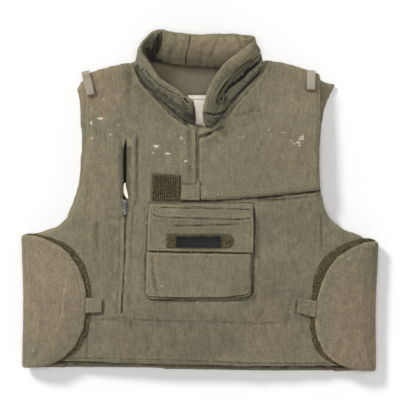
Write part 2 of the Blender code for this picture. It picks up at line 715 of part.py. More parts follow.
def make_side_flap(name, side, edge, low_half_width):
    """A side flap whose fold stands low_half_width out at the hem, and draws in at its waist."""
    path = smooth_path(edge, 0.020)
    top, bottom = path[0][1], path[-1][1]
    rows = [path[0], edge_at(path, top - WING_END)]
    rows += [p for p in path if top - 2 * WING_END > p[1] > bottom + 2 * WING_END]
    rows += [edge_at(path, bottom + WING_END), path[-1]]
    rings = []
    for k, (x, y) in enumerate(rows):
        share = (y - bottom) / (top - bottom)
        thick = WING_THICK * (0.62 if k in (0, len(rows) - 1) else 1.0)
        half_width = low_half_width + (HALF_WIDTH - low_half_width) * share
        half_width -= WING_WAIST * math.sin(math.pi * share) ** 2
        rings.append(wing_ring(side, x, y, half_width, WING_SLANT * share**3, thick))
    bridged(name, rings, OLIVE, ladder=True)


def make_loop_field(name, outer_edge):
    """A curved band of loop tape on the front panel, partly under the side flap."""
    outer = smooth_path(outer_edge, 0.015)
    inner = []
    for k, (x, y) in enumerate(outer):
        ahead = outer[min(k + 1, len(outer) - 1)]
        behind = outer[max(k - 1, 0)]
        dx, dy = ahead[0] - behind[0], ahead[1] - behind[1]
        run = math.hypot(dx, dy)
        towards_side = -math.copysign(1.0, x) * LOOP_TAPE_WIDTH / run
        end_share = smoothstep(min(k, len(outer) - 1 - k) / 3)
        width = towards_side * (0.25 + 0.75 * end_share)
        inner.append((x + dy * width, y - dx * width))
    laid_tape(name, joined(outer, reversed(inner)), front_top, LOOP_TAPE_THICK, DARK_LOOP, grid=0.05)


def make_pull_tab(name, corners):
    """A folded tab of tape sewn to the side flap's edge: root corners first, then its free corners."""
    root_top, root_low, free_low, free_top = corners
    outline = box_outline([root_top, root_low, free_low, free_top], 0.013)
    free_x = (free_low[0] + free_top[0]) / 2
    root_x = (root_low[0] + root_top[0]) / 2

    def under(x, y):
        share = smoothstep((x - root_x) / (free_x - root_x))
        return wing_under(x, y) + 0.0026 - 0.0012 * share

    panel(name, outline, under, lambda x, y: under(x, y) + 2 * TAPE_THICK, OLIVE, roll=0.001, grid=0.013)


def make_side_pieces():
    make_side_flap("side_flap_left", -1, LEFT_FLAP_EDGE, 0.2842)
    make_side_flap("side_flap_right", 1, RIGHT_FLAP_EDGE, 0.2810)
    make_loop_field("loop_field_left", LEFT_LOOP_EDGE)
    make_loop_field("loop_field_right", RIGHT_LOOP_EDGE)
    make_pull_tab(
        "pull_tab_left", [(-0.1828, -0.1560), (-0.1834, -0.1806), (-0.1575, -0.1797), (-0.1567, -0.1575)]
    )
    make_pull_tab(
        "pull_tab_right", [(0.1872, -0.1614), (0.1844, -0.1880), (0.1546, -0.1796), (0.1582, -0.1562)]
    )


# Small pieces


def make_shoulder_loop(name, low_end, shoulder_end, width, surface, seam_z):
    """A strip of tape folded under at its lower end and led over the shoulder into its seam."""
    low = Vector(low_end)
    high = Vector(shoulder_end)
    along = (high - low).normalized()
    side = Vector((-along.y, along.x)) * width / 2
    run = (high - low).length
    route = (
        (0.0120, 0.0013), (0.0035, 0.0013), (0.0006, 0.0040), (0.0040, 0.0078), (run * 0.35, 0.0090),
        (run * 0.72, 0.0082), (run - 0.0035, 0.0050), (run, -0.0015), (run + 0.0004, seam_z),
    )
    middle = [(v, surface(*(low + along * v)) + z if k < 8 else z) for k, (v, z) in enumerate(route)]
    outer, inner = [], []
    for k, (v, z) in enumerate(middle):
        ahead, behind = middle[min(k + 1, 8)], middle[max(k - 1, 0)]
        direction = Vector((ahead[0] - behind[0], ahead[1] - behind[1])).normalized()
        normal = Vector((-direction.y, direction.x)) * TAPE_THICK / 2
        outer.append((v + normal.x, z + normal.y))
        inner.append((v - normal.x, z - normal.y))
    rings = []
    for share in (-1.0, 1.0):
        rings.append([
            (*(low + along * v + side * share), z) for v, z in outer + list(reversed(inner))
        ])
    bridged(name, rings, PALE_TAPE, ladder=True)


def make_neck_label():
    label = box_outline([(-0.0190, 0.1682), (-0.0185, 0.1140), (0.0220, 0.1140), (0.0225, 0.1682)])
    laid_tape("neck_label", label, lambda x, y: BACK_THICK, LABEL_THICK, WHITE_CLOTH)


def make_pocket_zip():
    """The two tapes beside the zip's open stretch, its slider and the pull that hangs from it."""
    rows = named_rows(ZIP_COLUMNS, ZIP_ROWS[1:5])
    for name, side in (("zip_tape_left", -1.0), ("zip_tape_right", 1.0)):
        near = [(r["x"] + side * (r["half_gap"] + 0.0006), r["y"]) for r in rows]
        far = [(x + side * 0.0040, y) for x, y in reversed(near)]
        laid_tape(name, near + far, front_top, 0.0010, BLACK_ZIP)
    body = rounded_box((-0.1238, -0.0125), (-0.1156, -0.0005), 0.0020)
    laid_tape("zip_slider", body, front_top, 0.0034, GREY_METAL, roll=0.0010)
    pull = rounded_box((-0.1226, -0.0262), (-0.1172, -0.0129), 0.0016)
    laid_tape("zip_pull", pull, front_top, 0.0018, GREY_METAL, roll=0.0006)


def make_collar_zip():
    """The zip tape above the collar's slot, on its two front stretches, and a slider at each end."""
    collar_strip("collar_zip_left", 1.0, 4.5, 0.045, 0.065, 0.0012, BLACK_ZIP, 7)
    collar_strip("collar_zip_right", 14.5, 17.5, 0.100, 0.065, 0.0012, BLACK_ZIP, 6)
    collar_strip("collar_slider_left", 0.72, 1.02, 0.15, 0.18, 0.0032, GREY_METAL, 2)
    collar_strip("collar_slider_right", 17.04, 17.30, -0.07, 0.13, 0.0032, GREY_METAL, 2)


def centre_on_origin():
    """Moves everything so that the origin is under the middle of the vest's box."""
    points = [v.co for obj in bpy.data.objects if not obj.hide_render for v in obj.data.vertices]
    low = [min(p[i] for p in points) for i in range(3)]
    high = [max(p[i] for p in points) for i in range(3)]
    shift = Matrix.Translation((-(low[0] + high[0]) / 2, -(low[1] + high[1]) / 2, -low[2]))
    for obj in bpy.data.objects:
        obj.data.transform(shift)


def main():
    for obj in list(bpy.data.objects):
        bpy.data.objects.remove(obj)
    make_back_panel()
    make_front_panel()
    make_chest_flap()
    make_front_closure()
    make_pocket()
    make_side_pieces()
    make_collar()
    make_collar_zip()
    make_pocket_zip()
    make_neck_label()
    make_shoulder_loop(
        "shoulder_loop_left", (-0.1744, 0.1665), (-0.1839, 0.2072), 0.0128, front_top, BACK_THICK
    )
    make_shoulder_loop(
        "shoulder_loop_right", (0.1768, 0.1735), (0.1784, 0.2092), 0.0128, chest_flap_top, BACK_THICK
    )
    centre_on_origin()


main()
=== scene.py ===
"""Looks of the padded flak vest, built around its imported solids.

Each padded panel is a copy of its solid, remeshed, blown up a little as cloth between its held
seams, and then given the folds, seams and puckers that the photograph shows. Tapes, zips, the
rubber patch and the stitches are modelled on top of the cloth that carries them.
"""

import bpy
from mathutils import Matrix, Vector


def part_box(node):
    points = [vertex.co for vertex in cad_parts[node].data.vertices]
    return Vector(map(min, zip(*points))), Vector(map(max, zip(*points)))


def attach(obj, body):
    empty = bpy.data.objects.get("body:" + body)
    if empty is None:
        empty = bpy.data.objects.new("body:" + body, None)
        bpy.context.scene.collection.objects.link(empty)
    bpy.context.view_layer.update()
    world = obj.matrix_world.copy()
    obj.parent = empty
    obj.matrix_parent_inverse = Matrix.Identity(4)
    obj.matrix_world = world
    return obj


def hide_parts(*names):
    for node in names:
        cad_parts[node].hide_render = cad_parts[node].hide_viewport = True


bl_info = {
    "name": "Flak Vest",
    "version": (1, 0, 0),
    "blender": (4, 5, 0),
    "location": "View3D > Sidebar > Vest",
    "description": "Makes the cloth, tapes, zips and stitches of a padded flak vest",
    "category": "Object",
}

import itertools
import math

import bmesh
import bpy
import numpy as np
from mathutils import Vector
from mathutils.bvhtree import BVHTree
from mathutils.kdtree import KDTree

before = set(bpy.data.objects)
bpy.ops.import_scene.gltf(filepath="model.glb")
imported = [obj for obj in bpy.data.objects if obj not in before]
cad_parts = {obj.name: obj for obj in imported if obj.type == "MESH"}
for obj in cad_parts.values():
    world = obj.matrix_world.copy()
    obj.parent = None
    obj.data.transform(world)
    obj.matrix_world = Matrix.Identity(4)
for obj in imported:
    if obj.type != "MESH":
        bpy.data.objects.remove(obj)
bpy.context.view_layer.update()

# The photograph's frame: 400 pixels across, 1.6 mm of the vest to a pixel
PIXEL = 0.0016
PHOTO_MIDDLE = 200.0
PHOTO_SHIFT = 0.00175

# Finished pieces by their keys, for laying other things on them
PIECES = {}


def spot(px, py):
    """The place on the vest, in metres, of a point in the photograph's frame."""
    return (px - PHOTO_MIDDLE) * PIXEL, (PHOTO_MIDDLE - py) * PIXEL + PHOTO_SHIFT


def spots(pairs):
    return np.array([spot(*p) for p in pairs])


def linear(text):
    """An sRGB hex colour as linear values."""
    values = []
    for k in (1, 3, 5):
        c = int(text[k:k + 2], 16) / 255.0
        values.append(c / 12.92 if c <= 0.04045 else ((c + 0.055) / 1.055) ** 2.4)
    return tuple(values)


# Lines that both a seam and its stitches follow, in the photograph's frame
CLOSED_ZIP = ((126, 212), (125.2, 240), (124.6, 262), (122.9, 290), (121.7, 314.5))
ZIP_OUTER_LINE = ((120.4, 134), (120, 200), (118.8, 262), (116.6, 316))
ZIP_INNER_LINE = ((133, 211), (130.6, 262), (129, 317))
FLAP_LINES = {
    "left": (
        (25, 241), (40, 243.5), (53, 248), (65, 257), (73.5, 268), (78, 280), (80.8, 296), (80.3, 315),
        (77.5, 329), (70.5, 342), (61, 353), (47, 361), (30, 362.5)),
    "right": (
        (374, 248.5), (358, 250.5), (346, 256), (336, 267), (328, 281), (324, 297), (320.5, 321), (323, 338),
        (329.5, 351), (340, 361), (356, 366)),
}

# Seams and folds in each piece's cloth: width, depth, darkening 0 to 1 that is part soiling and part
# painted shade in the groove or beside an edge, ripple, line. Widths and heights in these tables are in
# mm, and lines are in the photograph's frame.
SEAMS = {
    "front": (
        (1.5, 0.5, 0.3, 0.15, ZIP_OUTER_LINE),
        (2.2, 1.1, 0.24, 0.2, ((137.6, 134), (137, 160), (136.8, 198), (133, 211))),
        (3.6, -0.8, 0, 0.2, ((131.8, 138), (132.4, 160), (132.2, 196))),
        (1.5, 0.5, 0.25, 0.15, ZIP_INNER_LINE),
        (1.25, 1.6, 1, 0, CLOSED_ZIP),
        (1.4, 0.4, 0.15, 0.1, ((121.7, 133.3), (138, 133.3))),
        (1.4, 0.4, 0.2, 0.1, ((116, 317.5), (132, 317.5))),
        (1.6, 0.6, 0.35, 0.1, ((131.3, 317.5), (131.5, 330))),
        (2, 0.6, 0.06, 0.35, ((92, 319), (118, 318.6))),
        (1.6, 0.6, 0.14, 0.35, ((131.5, 319.5), (160, 320.5), (215, 321.6), (262, 323.5), (274, 322))),
        (2.2, 0.5, 0.05, 0.3, ((288.5, 302), (288.6, 318), (286, 322.5), (270, 323))),
        (2.6, 0.8, 0.05, 0.3, ((256, 322), (260, 315), (266, 305))),
        (3, 0.5, 0.1, 0.2, ((85.6, 96), (86.8, 130), (87.2, 160), (86, 190), (82, 210))),
        (1.2, 0.6, 0.12, 0.15, ((88.4, 98), (89.8, 130), (90, 160), (88.6, 190), (84, 212))),
        # Painted shadow on the front beside the collar's foot
        (1.8, 1.1, 0.95, 0.1, (
            (134, 63), (138, 75), (145, 86), (157.5, 99), (170.5, 113.6), (180, 120.2), (190, 125.4))),
        (1.6, 0.7, 0.3, 0.15, ((87.4, 322), (86.8, 343), (86.4, 361))),
        (2, 0.8, 0.18, 0.2, ((321.5, 212), (321, 252))),
        # Painted shadow in the gap under the chest flap's lower edge
        (2.2, 1.8, 1, 0.3, ((179, 201.4), (202, 201.1), (236, 199), (270, 196.7), (322, 190.2))),
        (1.8, 1.1, 0.6, 0.6, ((256, 200.6), (272, 200), (290, 198.4), (322, 194.8))),
        (1.3, 1.3, 0.75, 0.1, ((196.6, 128), (196.9, 150), (196.6, 184))),
        (3.8, 1, 0.18, 0.1, ((188.8, 127), (189.4, 150), (189.6, 184))),
        # Painted shadow beside the pocket's right side
        (1.4, 1.4, 0.85, 0.2, (
            (254, 206), (254.2, 230), (253.9, 250), (253.5, 276), (252.5, 292), (246, 299.6))),
        (1.5, 1, 0.4, 0.25, ((148.2, 297.6), (160, 299.8), (200, 300.8), (236, 300.4), (249, 299))),
        (1.2, 0.8, 0.45, 0.2, ((145.2, 252), (144.8, 276), (145.8, 293))),
        (1.3, 0.7, 0.4, 0.5, ((60, 358.4), (105, 358.2), (150, 359.2), (200, 361), (250, 363), (330, 363.4))),
        # Painted shadows round the two pull tabs, in this line and the next
        (2, 0.6, 0.5, 0.1, ((103, 297.5), (103.6, 306), (103, 313.6), (95, 314.2), (91, 313.8))),
        (1.1, 0.6, 0.55, 0.1, ((296.2, 299.5), (295.2, 312), (304, 315.6), (314, 318.8))),
        (5, 0.8, 0.05, 0, ((97.5, 220), (96.8, 240), (96.4, 264))),
        (3.5, 0.7, 0.05, 0, ((108, 216), (118, 219), (130, 216))),
        (5, 0.6, 0.04, 0, ((282, 300), (286, 316), (283, 330))),
        (5, 0.5, 0.04, 0, ((206, 326), (209, 340), (207, 352))),
        (5, 0.5, 0.04, 0, ((150, 328), (147, 340), (149, 353))),
        (6, 1.3, 0.08, 0, ((130.2, 70), (129.2, 86), (127.5, 108))),
        (9, 1.6, 0.04, 0, ((134, 84), (141, 93), (150, 104))),
        (1.8, 0.8, 0.3, 0.4, ((134, 62), (141, 82), (160, 103), (181, 122), (194.5, 130.5))),
        # Painted shade along the front's right edge at the armhole
        (1.3, 0.3, 0.8, 0.05, ((321.6, 74), (322.2, 93), (321, 119), (319.8, 146), (319.8, 170), (321, 190))),
    ),
    "back": (
        # Painted shadow on the back under the front's hem
        (2.3, 0.9, 1, 0.5, (
            (52, 361.8), (75, 362), (105, 362.1), (150, 363), (200, 364.9), (250, 367), (300, 367.4),
            (350, 367.2))),
        (2.4, 0.4, 0.55, 0.6, ((70, 364.4), (150, 365.2), (250, 369), (335, 369))),
    ),
    "flap": (
        (1.5, 0.5, 0.16, 0.2, ((317.2, 90), (316.8, 186))),
        # Painted shade along the flap's right edge
        (1.2, 0.2, 0.7, 0.05, (
            (320.8, 77), (321.4, 93), (320.2, 119), (319.2, 146), (319.2, 170), (320.2, 190))),
        (1.3, 0.4, 0.1, 0.2, ((203.4, 131), (203.2, 196))),
        (1.3, 0.35, 0.08, 0.2, ((203.2, 196), (270, 191.5), (316.8, 186))),
        (1.8, 0.8, 0.25, 0.4, (
            (268, 60), (262, 73), (249, 90), (236, 104), (226, 120), (214, 131), (203, 139))),
        (2.6, 1.8, 0.55, 0.2, ((196.8, 138.2), (203.5, 135.6), (211.5, 132.6), (219.4, 128.8), (225.4, 124.6))),
        (4.5, -1.3, 0, 0.2, ((200, 133.6), (208, 130.4), (217.4, 125.6), (226, 118))),
        (2.6, 1.1, 0.3, 0.2, ((202.5, 128.6), (212.4, 125.6), (220.7, 121.4), (228.5, 112.5), (236, 104))),
        (3.4, 0.9, 0.07, 0.1, ((246, 112.6), (254, 110.8), (263, 112.2))),
        (3.5, 0.7, 0.08, 0.1, ((232, 117), (246, 113), (262, 103))),
        (9, 1.3, 0.1, 0, ((204, 145), (218, 141), (236, 127))),
        (9, 0.9, 0.04, 0, ((246, 113), (262, 116), (275, 110))),
    ),
    "collar": (
        (2.1, 1.8, 0.9, 0.15, (
            (203, 112.4), (208, 114.2), (214.5, 114.9), (222, 113.4), (229, 108.6), (233.5, 104.6))),
        (1.3, 1.1, 0.45, 0.2, ((211.5, 118.4), (217, 118.8), (222, 117.4), (228, 112.6))),
        (1.7, 1, 0.22, 0.2, ((205.5, 121.8), (212.4, 122.8), (222.7, 117.6), (234, 104.5), (243, 95))),
        # Painted shade along the left collar's foot
        (2.2, 1.6, 1, 0.15, (
            (135.2, 64), (138.6, 74), (145.6, 84.6), (158, 97.6), (163.5, 104), (171, 112.2), (180.2, 119),
            (190, 123.8))),
        (1.3, 1.3, 0.95, 0.3, (
            (137, 62.8), (139.6, 70), (144.2, 78), (152.6, 87.6), (160, 95.2), (167.4, 102), (177, 108),
            (183, 111))),
        (1.1, 1.1, 0.75, 0.4, (
            (145.4, 69.4), (150.6, 77), (155.4, 82.2), (160.4, 86.4), (165.2, 89), (169.2, 91.8), (175.6, 94.6),
            (182.2, 97.4))),
        # Painted shade on the left collar's lower end by its tip
        (4.4, 0.6, 0.74, 0.2, ((162, 102.5), (170, 109), (178, 113.5), (189, 119))),
        # Painted shade where the collar's foot meets the lining at the back
        (1.3, 0.8, 0.9, 0.5, (
            (156, 64.2), (167.8, 65.6), (174, 65), (181, 66), (188, 67.4), (198, 67.4), (210, 68.6),
            (214.5, 67.6), (217, 64))),
    ),
    "tongue": (
        (1, 0.4, 0.35, 0.05, ((181.5, 185.4), (197.5, 184.8))),
        (0.9, 0.3, 0.25, 0.05, ((182.6, 197.4), (196.4, 197.2))),
    ),
    "pocket_flap": (
        (1.1, 0.5, 0.3, 0.1, ((148, 203.6), (170, 203.8), (190, 206.6), (252, 209))),
        (1.1, 0.6, 0.5, 0.1, ((160, 207.2), (200, 208.4), (252, 209.6))),
        (1.3, 0.7, 0.4, 0.15, ((151, 212.5), (156, 216), (172, 217.4), (210, 218.8), (238, 219.4), (252, 218))),
        (1.6, 0.7, 0.38, 0.1, ((172, 225.6), (200, 225.4), (240, 224.2))),
        (1, 0.3, 0.15, 0.1, ((151.3, 208), (151, 248), (250.5, 249), (251, 208))),
    ),
    "pocket": (
        # Painted shadow on the pocket under its flap's lower edge
        (1.9, 1.5, 1, 0.15, ((146.5, 251.4), (170, 251.6), (200, 252.2), (254, 252.8))),
        (3, 1.1, 0.05, 0.15, ((152.5, 253), (153.5, 275), (157.5, 293))),
        (1.3, 0.3, 0.08, 0.15, ((149, 256), (148.8, 291))),
        (1.3, 0.3, 0.1, 0.15, ((250, 256), (249.6, 288))),
        # Painted shade along the pocket's lower edge, in this line and the next
        (1.1, 1.3, 1, 0.3, (
            (145.4, 294.5), (150, 296.6), (166, 297.4), (200, 298), (226, 297.4), (240, 295.8), (247, 294.4),
            (252, 290.5))),
        (1, 1, 0.7, 0.2, ((226, 298.6), (236, 299), (244, 298.4), (250, 295.6), (252, 292))),
    ),
    "left_side": (
        (1.4, 0.2, 0.03, 0.15, FLAP_LINES["left"]),
    ),
    "right_side": (
        (1.4, 0.2, 0.03, 0.15, FLAP_LINES["right"]),
    ),
}

# Long pale rubs on each piece's cloth: width, strength, line
RUBS = {
    "left_side": (
        (1, 0.8, ((67.8, 272), (66.4, 280), (64.4, 291), (63.2, 303), (62.6, 317))),
        (0.9, 0.35, ((44, 262), (43.4, 284), (45, 306))),
        (0.8, 0.3, ((30, 346), (36, 352))),
    ),
    "right_side": (
        (0.9, 0.35, ((349, 257), (352, 262))),
    ),
    "front": (
        (0.8, 0.3, ((96, 246), (97.5, 262))),
        (1, 0.25, ((300, 330), (306, 348))),
    ),
}

# Lines of stitches on each piece
STITCHES = {
    "front": (
        ZIP_OUTER_LINE,
        ZIP_INNER_LINE,
        ((139.6, 140), (139.4, 200), (134.6, 212)),
        ((121.7, 132.8), (138, 132.8), (138, 134.6), (121.7, 134.6), (121.7, 132.8)),
        ((116, 317), (132, 317), (132, 318.8), (116, 318.8), (116, 317)),
        ((132.5, 318.6), (150, 318.9), (215, 320.2), (262, 322)),
        ((62, 356.8), (105, 356.6), (150, 357.6), (200, 359.4), (250, 361.4), (334, 361.8)),
    ),
    "flap": (((203.4, 131), (203.2, 196), (270, 191.5), (316.8, 186), (317.2, 90)),),
    "tongue": (
        ((182.6, 198), (196.6, 197.8)),
        ((182.6, 186.6), (196.6, 186.2)),
    ),
    "pocket_flap": (
        ((151.3, 207), (151, 248), (250.5, 249), (251, 208)),
        ((150, 204), (200, 204.6), (252, 207)),
    ),
    "square": (((153.6, 175.6), (178.4, 176.8), (177.8, 198.6), (152.6, 198.2), (153.6, 175.6)),),
    "strip": (
        ((174, 235.6), (168, 235.6), (168, 245.8), (174, 245.8)),
        (
            (221.5, 235.6), (226, 235.6), (230.2, 238.2), (231, 240.6), (230.2, 243.4), (226, 245.8),
            (221.5, 245.8)),
    ),
    "left_side": (FLAP_LINES["left"],),
    "right_side": (FLAP_LINES["right"],),
    "left_tab": (((87.5, 298), (87.5, 310.5)),),
    "right_tab": (((313.5, 301.5), (311.8, 314)),),
    "label": (((189.5, 95.5), (212.5, 95.5)),),
    "collar": (
        ((213, 99.6), (219, 89.3), (224.6, 82.3), (237.7, 70.8), (251.7, 59.9), (257.5, 53.8)),
        ((204.2, 110.4), (210.4, 105.2), (215.5, 99.8)),
    ),
}

# Pale specks of dried paint: place in the photograph's frame, two half sizes, strength
SPECKS = (
    (100.6, 118.6, 6.4, 2.6, 0.9), (91.5, 123, 2.4, 3.8, 0.65), (110.3, 134.6, 3, 1.6, 0.6),
    (92.4, 138, 3.4, 2.4, 0.3), (156.3, 146.4, 5.6, 3, 0.95), (168, 153.8, 5.6, 2, 1),
    (153.4, 153.2, 2.4, 1.2, 0.65), (186, 161, 2.6, 2.2, 0.95), (103.2, 99, 3, 2.2, 0.18),
    (118.3, 125, 2, 2.2, 0.4), (181.5, 138, 3, 3.6, 0.45), (184.5, 143.5, 2, 1.6, 0.4),
    (301, 138.6, 4.4, 3.8, 0.62), (298.4, 142.6, 4.8, 3.2, 0.55), (302.6, 136.2, 2.2, 2.6, 0.8),
    (294.2, 143.6, 3.4, 2, 0.45), (299.4, 145.4, 3, 1.4, 0.75), (291.2, 141, 1.4, 1.8, 0.45),
    (268.5, 130, 1.8, 1.4, 0.7), (283, 132.6, 3.4, 1.1, 0.45), (258, 113.4, 2.4, 1, 0.25),
    (243, 137, 1.4, 1.2, 0.45), (218, 194.3, 1.6, 2.2, 0.5), (206.5, 191.5, 1.2, 1.6, 0.4),
    (162, 285.6, 2.4, 1.5, 0.6), (197.6, 302, 1.8, 1.6, 0.55), (290.5, 312, 3.4, 1.4, 0.28),
    (349, 259, 1.4, 2.2, 0.6), (355, 271, 2, 0.9, 0.4), (146.5, 222.5, 1.4, 3, 0.6), (296, 240, 2.4, 1.2, 0.25),
    (33.5, 351, 1.2, 2.6, 0.26),
)

# Soft areas where sun has browned the canvas, and where it has stayed dusky, given as the specks are
SUNNED = (
    (98, 88, 62, 62, 0.85), (98, 178, 46, 96, 0.5), (296, 92, 70, 70, 0.45), (292, 150, 66, 84, 0.35),
    (214, 50, 70, 34, 0.5), (44, 292, 86, 150, 0.7), (352, 322, 74, 128, 0.75), (266, 332, 54, 76, 0.5),
    (286, 262, 60, 60, 0.2), (132, 340, 66, 40, 0.3), (368, 352, 30, 44, 0.7),
)
DUSKY = (
    (190, 338, 240, 66, 0.75), (272, 300, 84, 84, 0.7), (292, 226, 96, 60, 0.45), (100, 246, 34, 90, 0.3),
    (232, 78, 40, 50, 0.6), (160, 92, 50, 60, 0.35), (350, 300, 84, 150, 0.5), (242, 108, 44, 40, 0.4),
    (45, 330, 90, 80, 0.3), (200, 224, 90, 44, 0.5), (102, 90, 64, 56, 0.34), (98, 176, 40, 60, 0.34),
    # The last two entries darken the legs' narrow strips along the hem
    (290, 152, 76, 66, 0.34), (286, 86, 60, 34, 0.28), (56, 366, 34, 8, 1), (340, 369, 34, 8, 1),
)

# The collar's open zip on the right, from the seam above it down to the roll at its foot:
# half width, rise, painted shade, grey pouch 0 to 1, line
COLLAR_MOUTH = (
    (1.1, 0.8, 0, 0, ((213, 99.4), (224.4, 81.6), (237, 69.8), (257.5, 51.6))),
    (0.9, -1, 0.8, 0, ((217.4, 94.6), (226.8, 83.2), (238.4, 73), (253.2, 61.3), (260.4, 54.4))),
    (1.4, 0.5, 0.3, 0.5, ((221.5, 92), (229.6, 84.8), (241, 75.4), (256, 62))),
    (2.3, -3.2, 1, 0, (
        (224.4, 94.6), (226.8, 90.4), (230.7, 86.2), (236.1, 82.3), (243.9, 76.9), (247.4, 71.2), (252.2, 68.2),
        (259.4, 62.1), (263.4, 54.6))),
    (3.3, 1.8, 0, 1, ((223.4, 104.2), (232.2, 94.6), (238.4, 88.2), (248.5, 78), (257.9, 68.4), (264.6, 62.6))),
    (1.4, -1.6, 0.95, 0, (
        (227.6, 106.8), (236.1, 100.2), (242.3, 92.8), (251.7, 83.2), (258.4, 74.6), (264, 68.6))),
    (2.2, 0.9, 0, 0, ((232, 107), (244, 95.4), (255, 84.5), (264, 75))),
)

# Upright seams and soft creases on the collar's inner face at the back: width, depth, darkening that
# is part soiling and part painted shade, line
INNER_CREASES = (
    (1.3, 1.3, 0.45, ((190.6, 34), (190.2, 40), (189, 47), (186, 57), (185.8, 66))),
    (4.2, 1.3, 0.06, ((175.4, 36), (176.3, 46), (171, 53), (168, 64))),
    (4, 1.1, 0.05, ((165.9, 32), (165, 41))),
    (4, 1.2, 0.05, ((218.3, 38), (214.5, 49), (211, 57))),
    (3.4, 1.2, 0.06, ((237.2, 36), (239, 42), (241.4, 48))),
    (3.4, 1, 0.05, ((243.8, 35), (247, 42))),
    (4.4, 1, 0.03, ((203, 48), (200, 64))),
    (6, -1.2, 0, ((182, 40), (179, 56))),
    (7, -1.2, 0, ((203, 38), (201, 50))),
)

# The hollow where the collar turns on the left, painted dark as shade: reach in metres, shade,
# sharpness, line
HOLLOW_SHADE = (
    (0.0019, 0.95, 2, ((161.6, 30.5), (161.3, 39), (161.1, 44.5), (159.1, 50), (155.6, 55))),
    (0.003, 1, 2, ((159.3, 35.5), (155.8, 41.5), (153.8, 47.3), (152.8, 53), (155, 59))),
    (0.0054, 0.94, 3, ((159.2, 40), (157.6, 46), (155.6, 52))),
    (0.005, 1, 3, ((147.5, 50), (150.2, 56), (154.6, 60.5), (160.4, 62.2))),
    (0.0052, 1, 2, ((152, 51), (154, 57))),
    (0.012, 0.46, 2, ((149, 44), (147, 52))),
)

# The loop fields' outer edges and where their inner ones lie hidden under the side flaps
FIELDS = {
    "left": (
        (
            (22.6, 234.8), (27.3, 233.9), (33.9, 233.3), (39.5, 234.4), (46.5, 235.8), (53.4, 238.2), (61, 241),
            (68.6, 245.2), (74.4, 250), (80.6, 257.6), (86.6, 269.6), (89.3, 280), (90.9, 290.9), (91.2, 303),
            (90.8, 314), (88.9, 328.2), (85.6, 337.6), (81.6, 345), (76.6, 351.2), (71, 356), (63, 361),
            (49.5, 364.6)),
        (
            (23.4, 238.2), (33, 239.4), (42, 242), (51, 246), (60, 252.5), (67.5, 259.5), (73, 266),
            (76.8, 273.5), (79.8, 282), (82, 292), (82.6, 301), (82.2, 312), (80.2, 322), (77.4, 331),
            (72.5, 340), (66.5, 347), (58.5, 353), (50, 357), (40, 360)),
    ),
    "right": (
        (
            (376, 240.2), (371.5, 238.8), (365.1, 238), (358, 238.8), (351.1, 241.2), (344, 243.9),
            (337.1, 247.4), (330.4, 251.5), (324.5, 256.8), (320.6, 262), (317.4, 267.7), (314.2, 276.5),
            (312.2, 286.4), (311.2, 297.2), (309.5, 318.4), (309.8, 326), (310.7, 333.8), (312.2, 341),
            (314.4, 347), (317.6, 352.4), (321.9, 356.8), (327.2, 360.4), (332.6, 363.2), (338.4, 365),
            (350, 366.4)),
        (
            (376.5, 245.5), (368, 245.5), (359.5, 248), (351, 252), (343.6, 257.5), (336, 263.5), (331, 270),
            (326.5, 278), (322.6, 288), (320, 298), (319.2, 310), (319.4, 320), (320.4, 329), (323.6, 339),
            (329, 347), (336.5, 355), (345, 360.5), (357, 363.5)),
    ),
}

# The collar's foot and top edge from its left end round the back to its right end, in mm from the
# photograph's middle
COLLAR_FOOT = (
    (-6.4, 124), (-24, 130.4), (-50.4, 153.6), (-76, 179.2), (-91.2, 197.6), (-98.7, 212.8), (-97.1, 222.7),
    (-84.8, 225.6), (-67.2, 223.2), (-43.2, 219.2), (0, 215.2), (44.8, 213.6), (68.8, 214.4), (86.9, 220),
    (94.9, 213.1), (88.5, 200.8), (69.1, 182.4), (48, 158.7), (28.5, 130.7), (11.7, 115.8),
)
COLLAR_EDGE = (
    (-10.4, 157.6), (-24.8, 165.6), (-44, 179.2), (-65.6, 192.8), (-80, 214.4), (-90.4, 228.8), (-93.6, 244),
    (-81.6, 259.2), (-64, 267.5), (-32, 261.6), (4.8, 260), (41.6, 261.6), (64, 260.8), (82.4, 256.8),
    (77.6, 247.2), (56, 229.6), (37.8, 215.4), (16.8, 182.1), (8, 152), (6.4, 138.4),
)
COLLAR_LAST = len(COLLAR_FOOT) - 1
# The neck's middle, in metres
NECK = np.array([-0.002, 0.190])

# Rings at the collar zip's ends: place in the photograph's frame, half length, half width,
# direction across it
RINGS = {
    "left": (186.2, 101.4, 8.2, 3, (0.76, 0.65)),
    "right": (221.4, 98.6, 5.6, 3.4, (1, -0.25)),
}

# The open stretch of the pocket zip: centre x, y, half width
SLIT = (
    (-118.6, 99.5, 0.3), (-118.9, 93, 1.4), (-119.5, 84, 2.9), (-119.8, 72, 3.4), (-120, 52, 3.4),
    (-119.8, 30, 3.2), (-119.8, 8, 3.1), (-120.4, -4, 2.8), (-120.6, -16, 0.6),
)


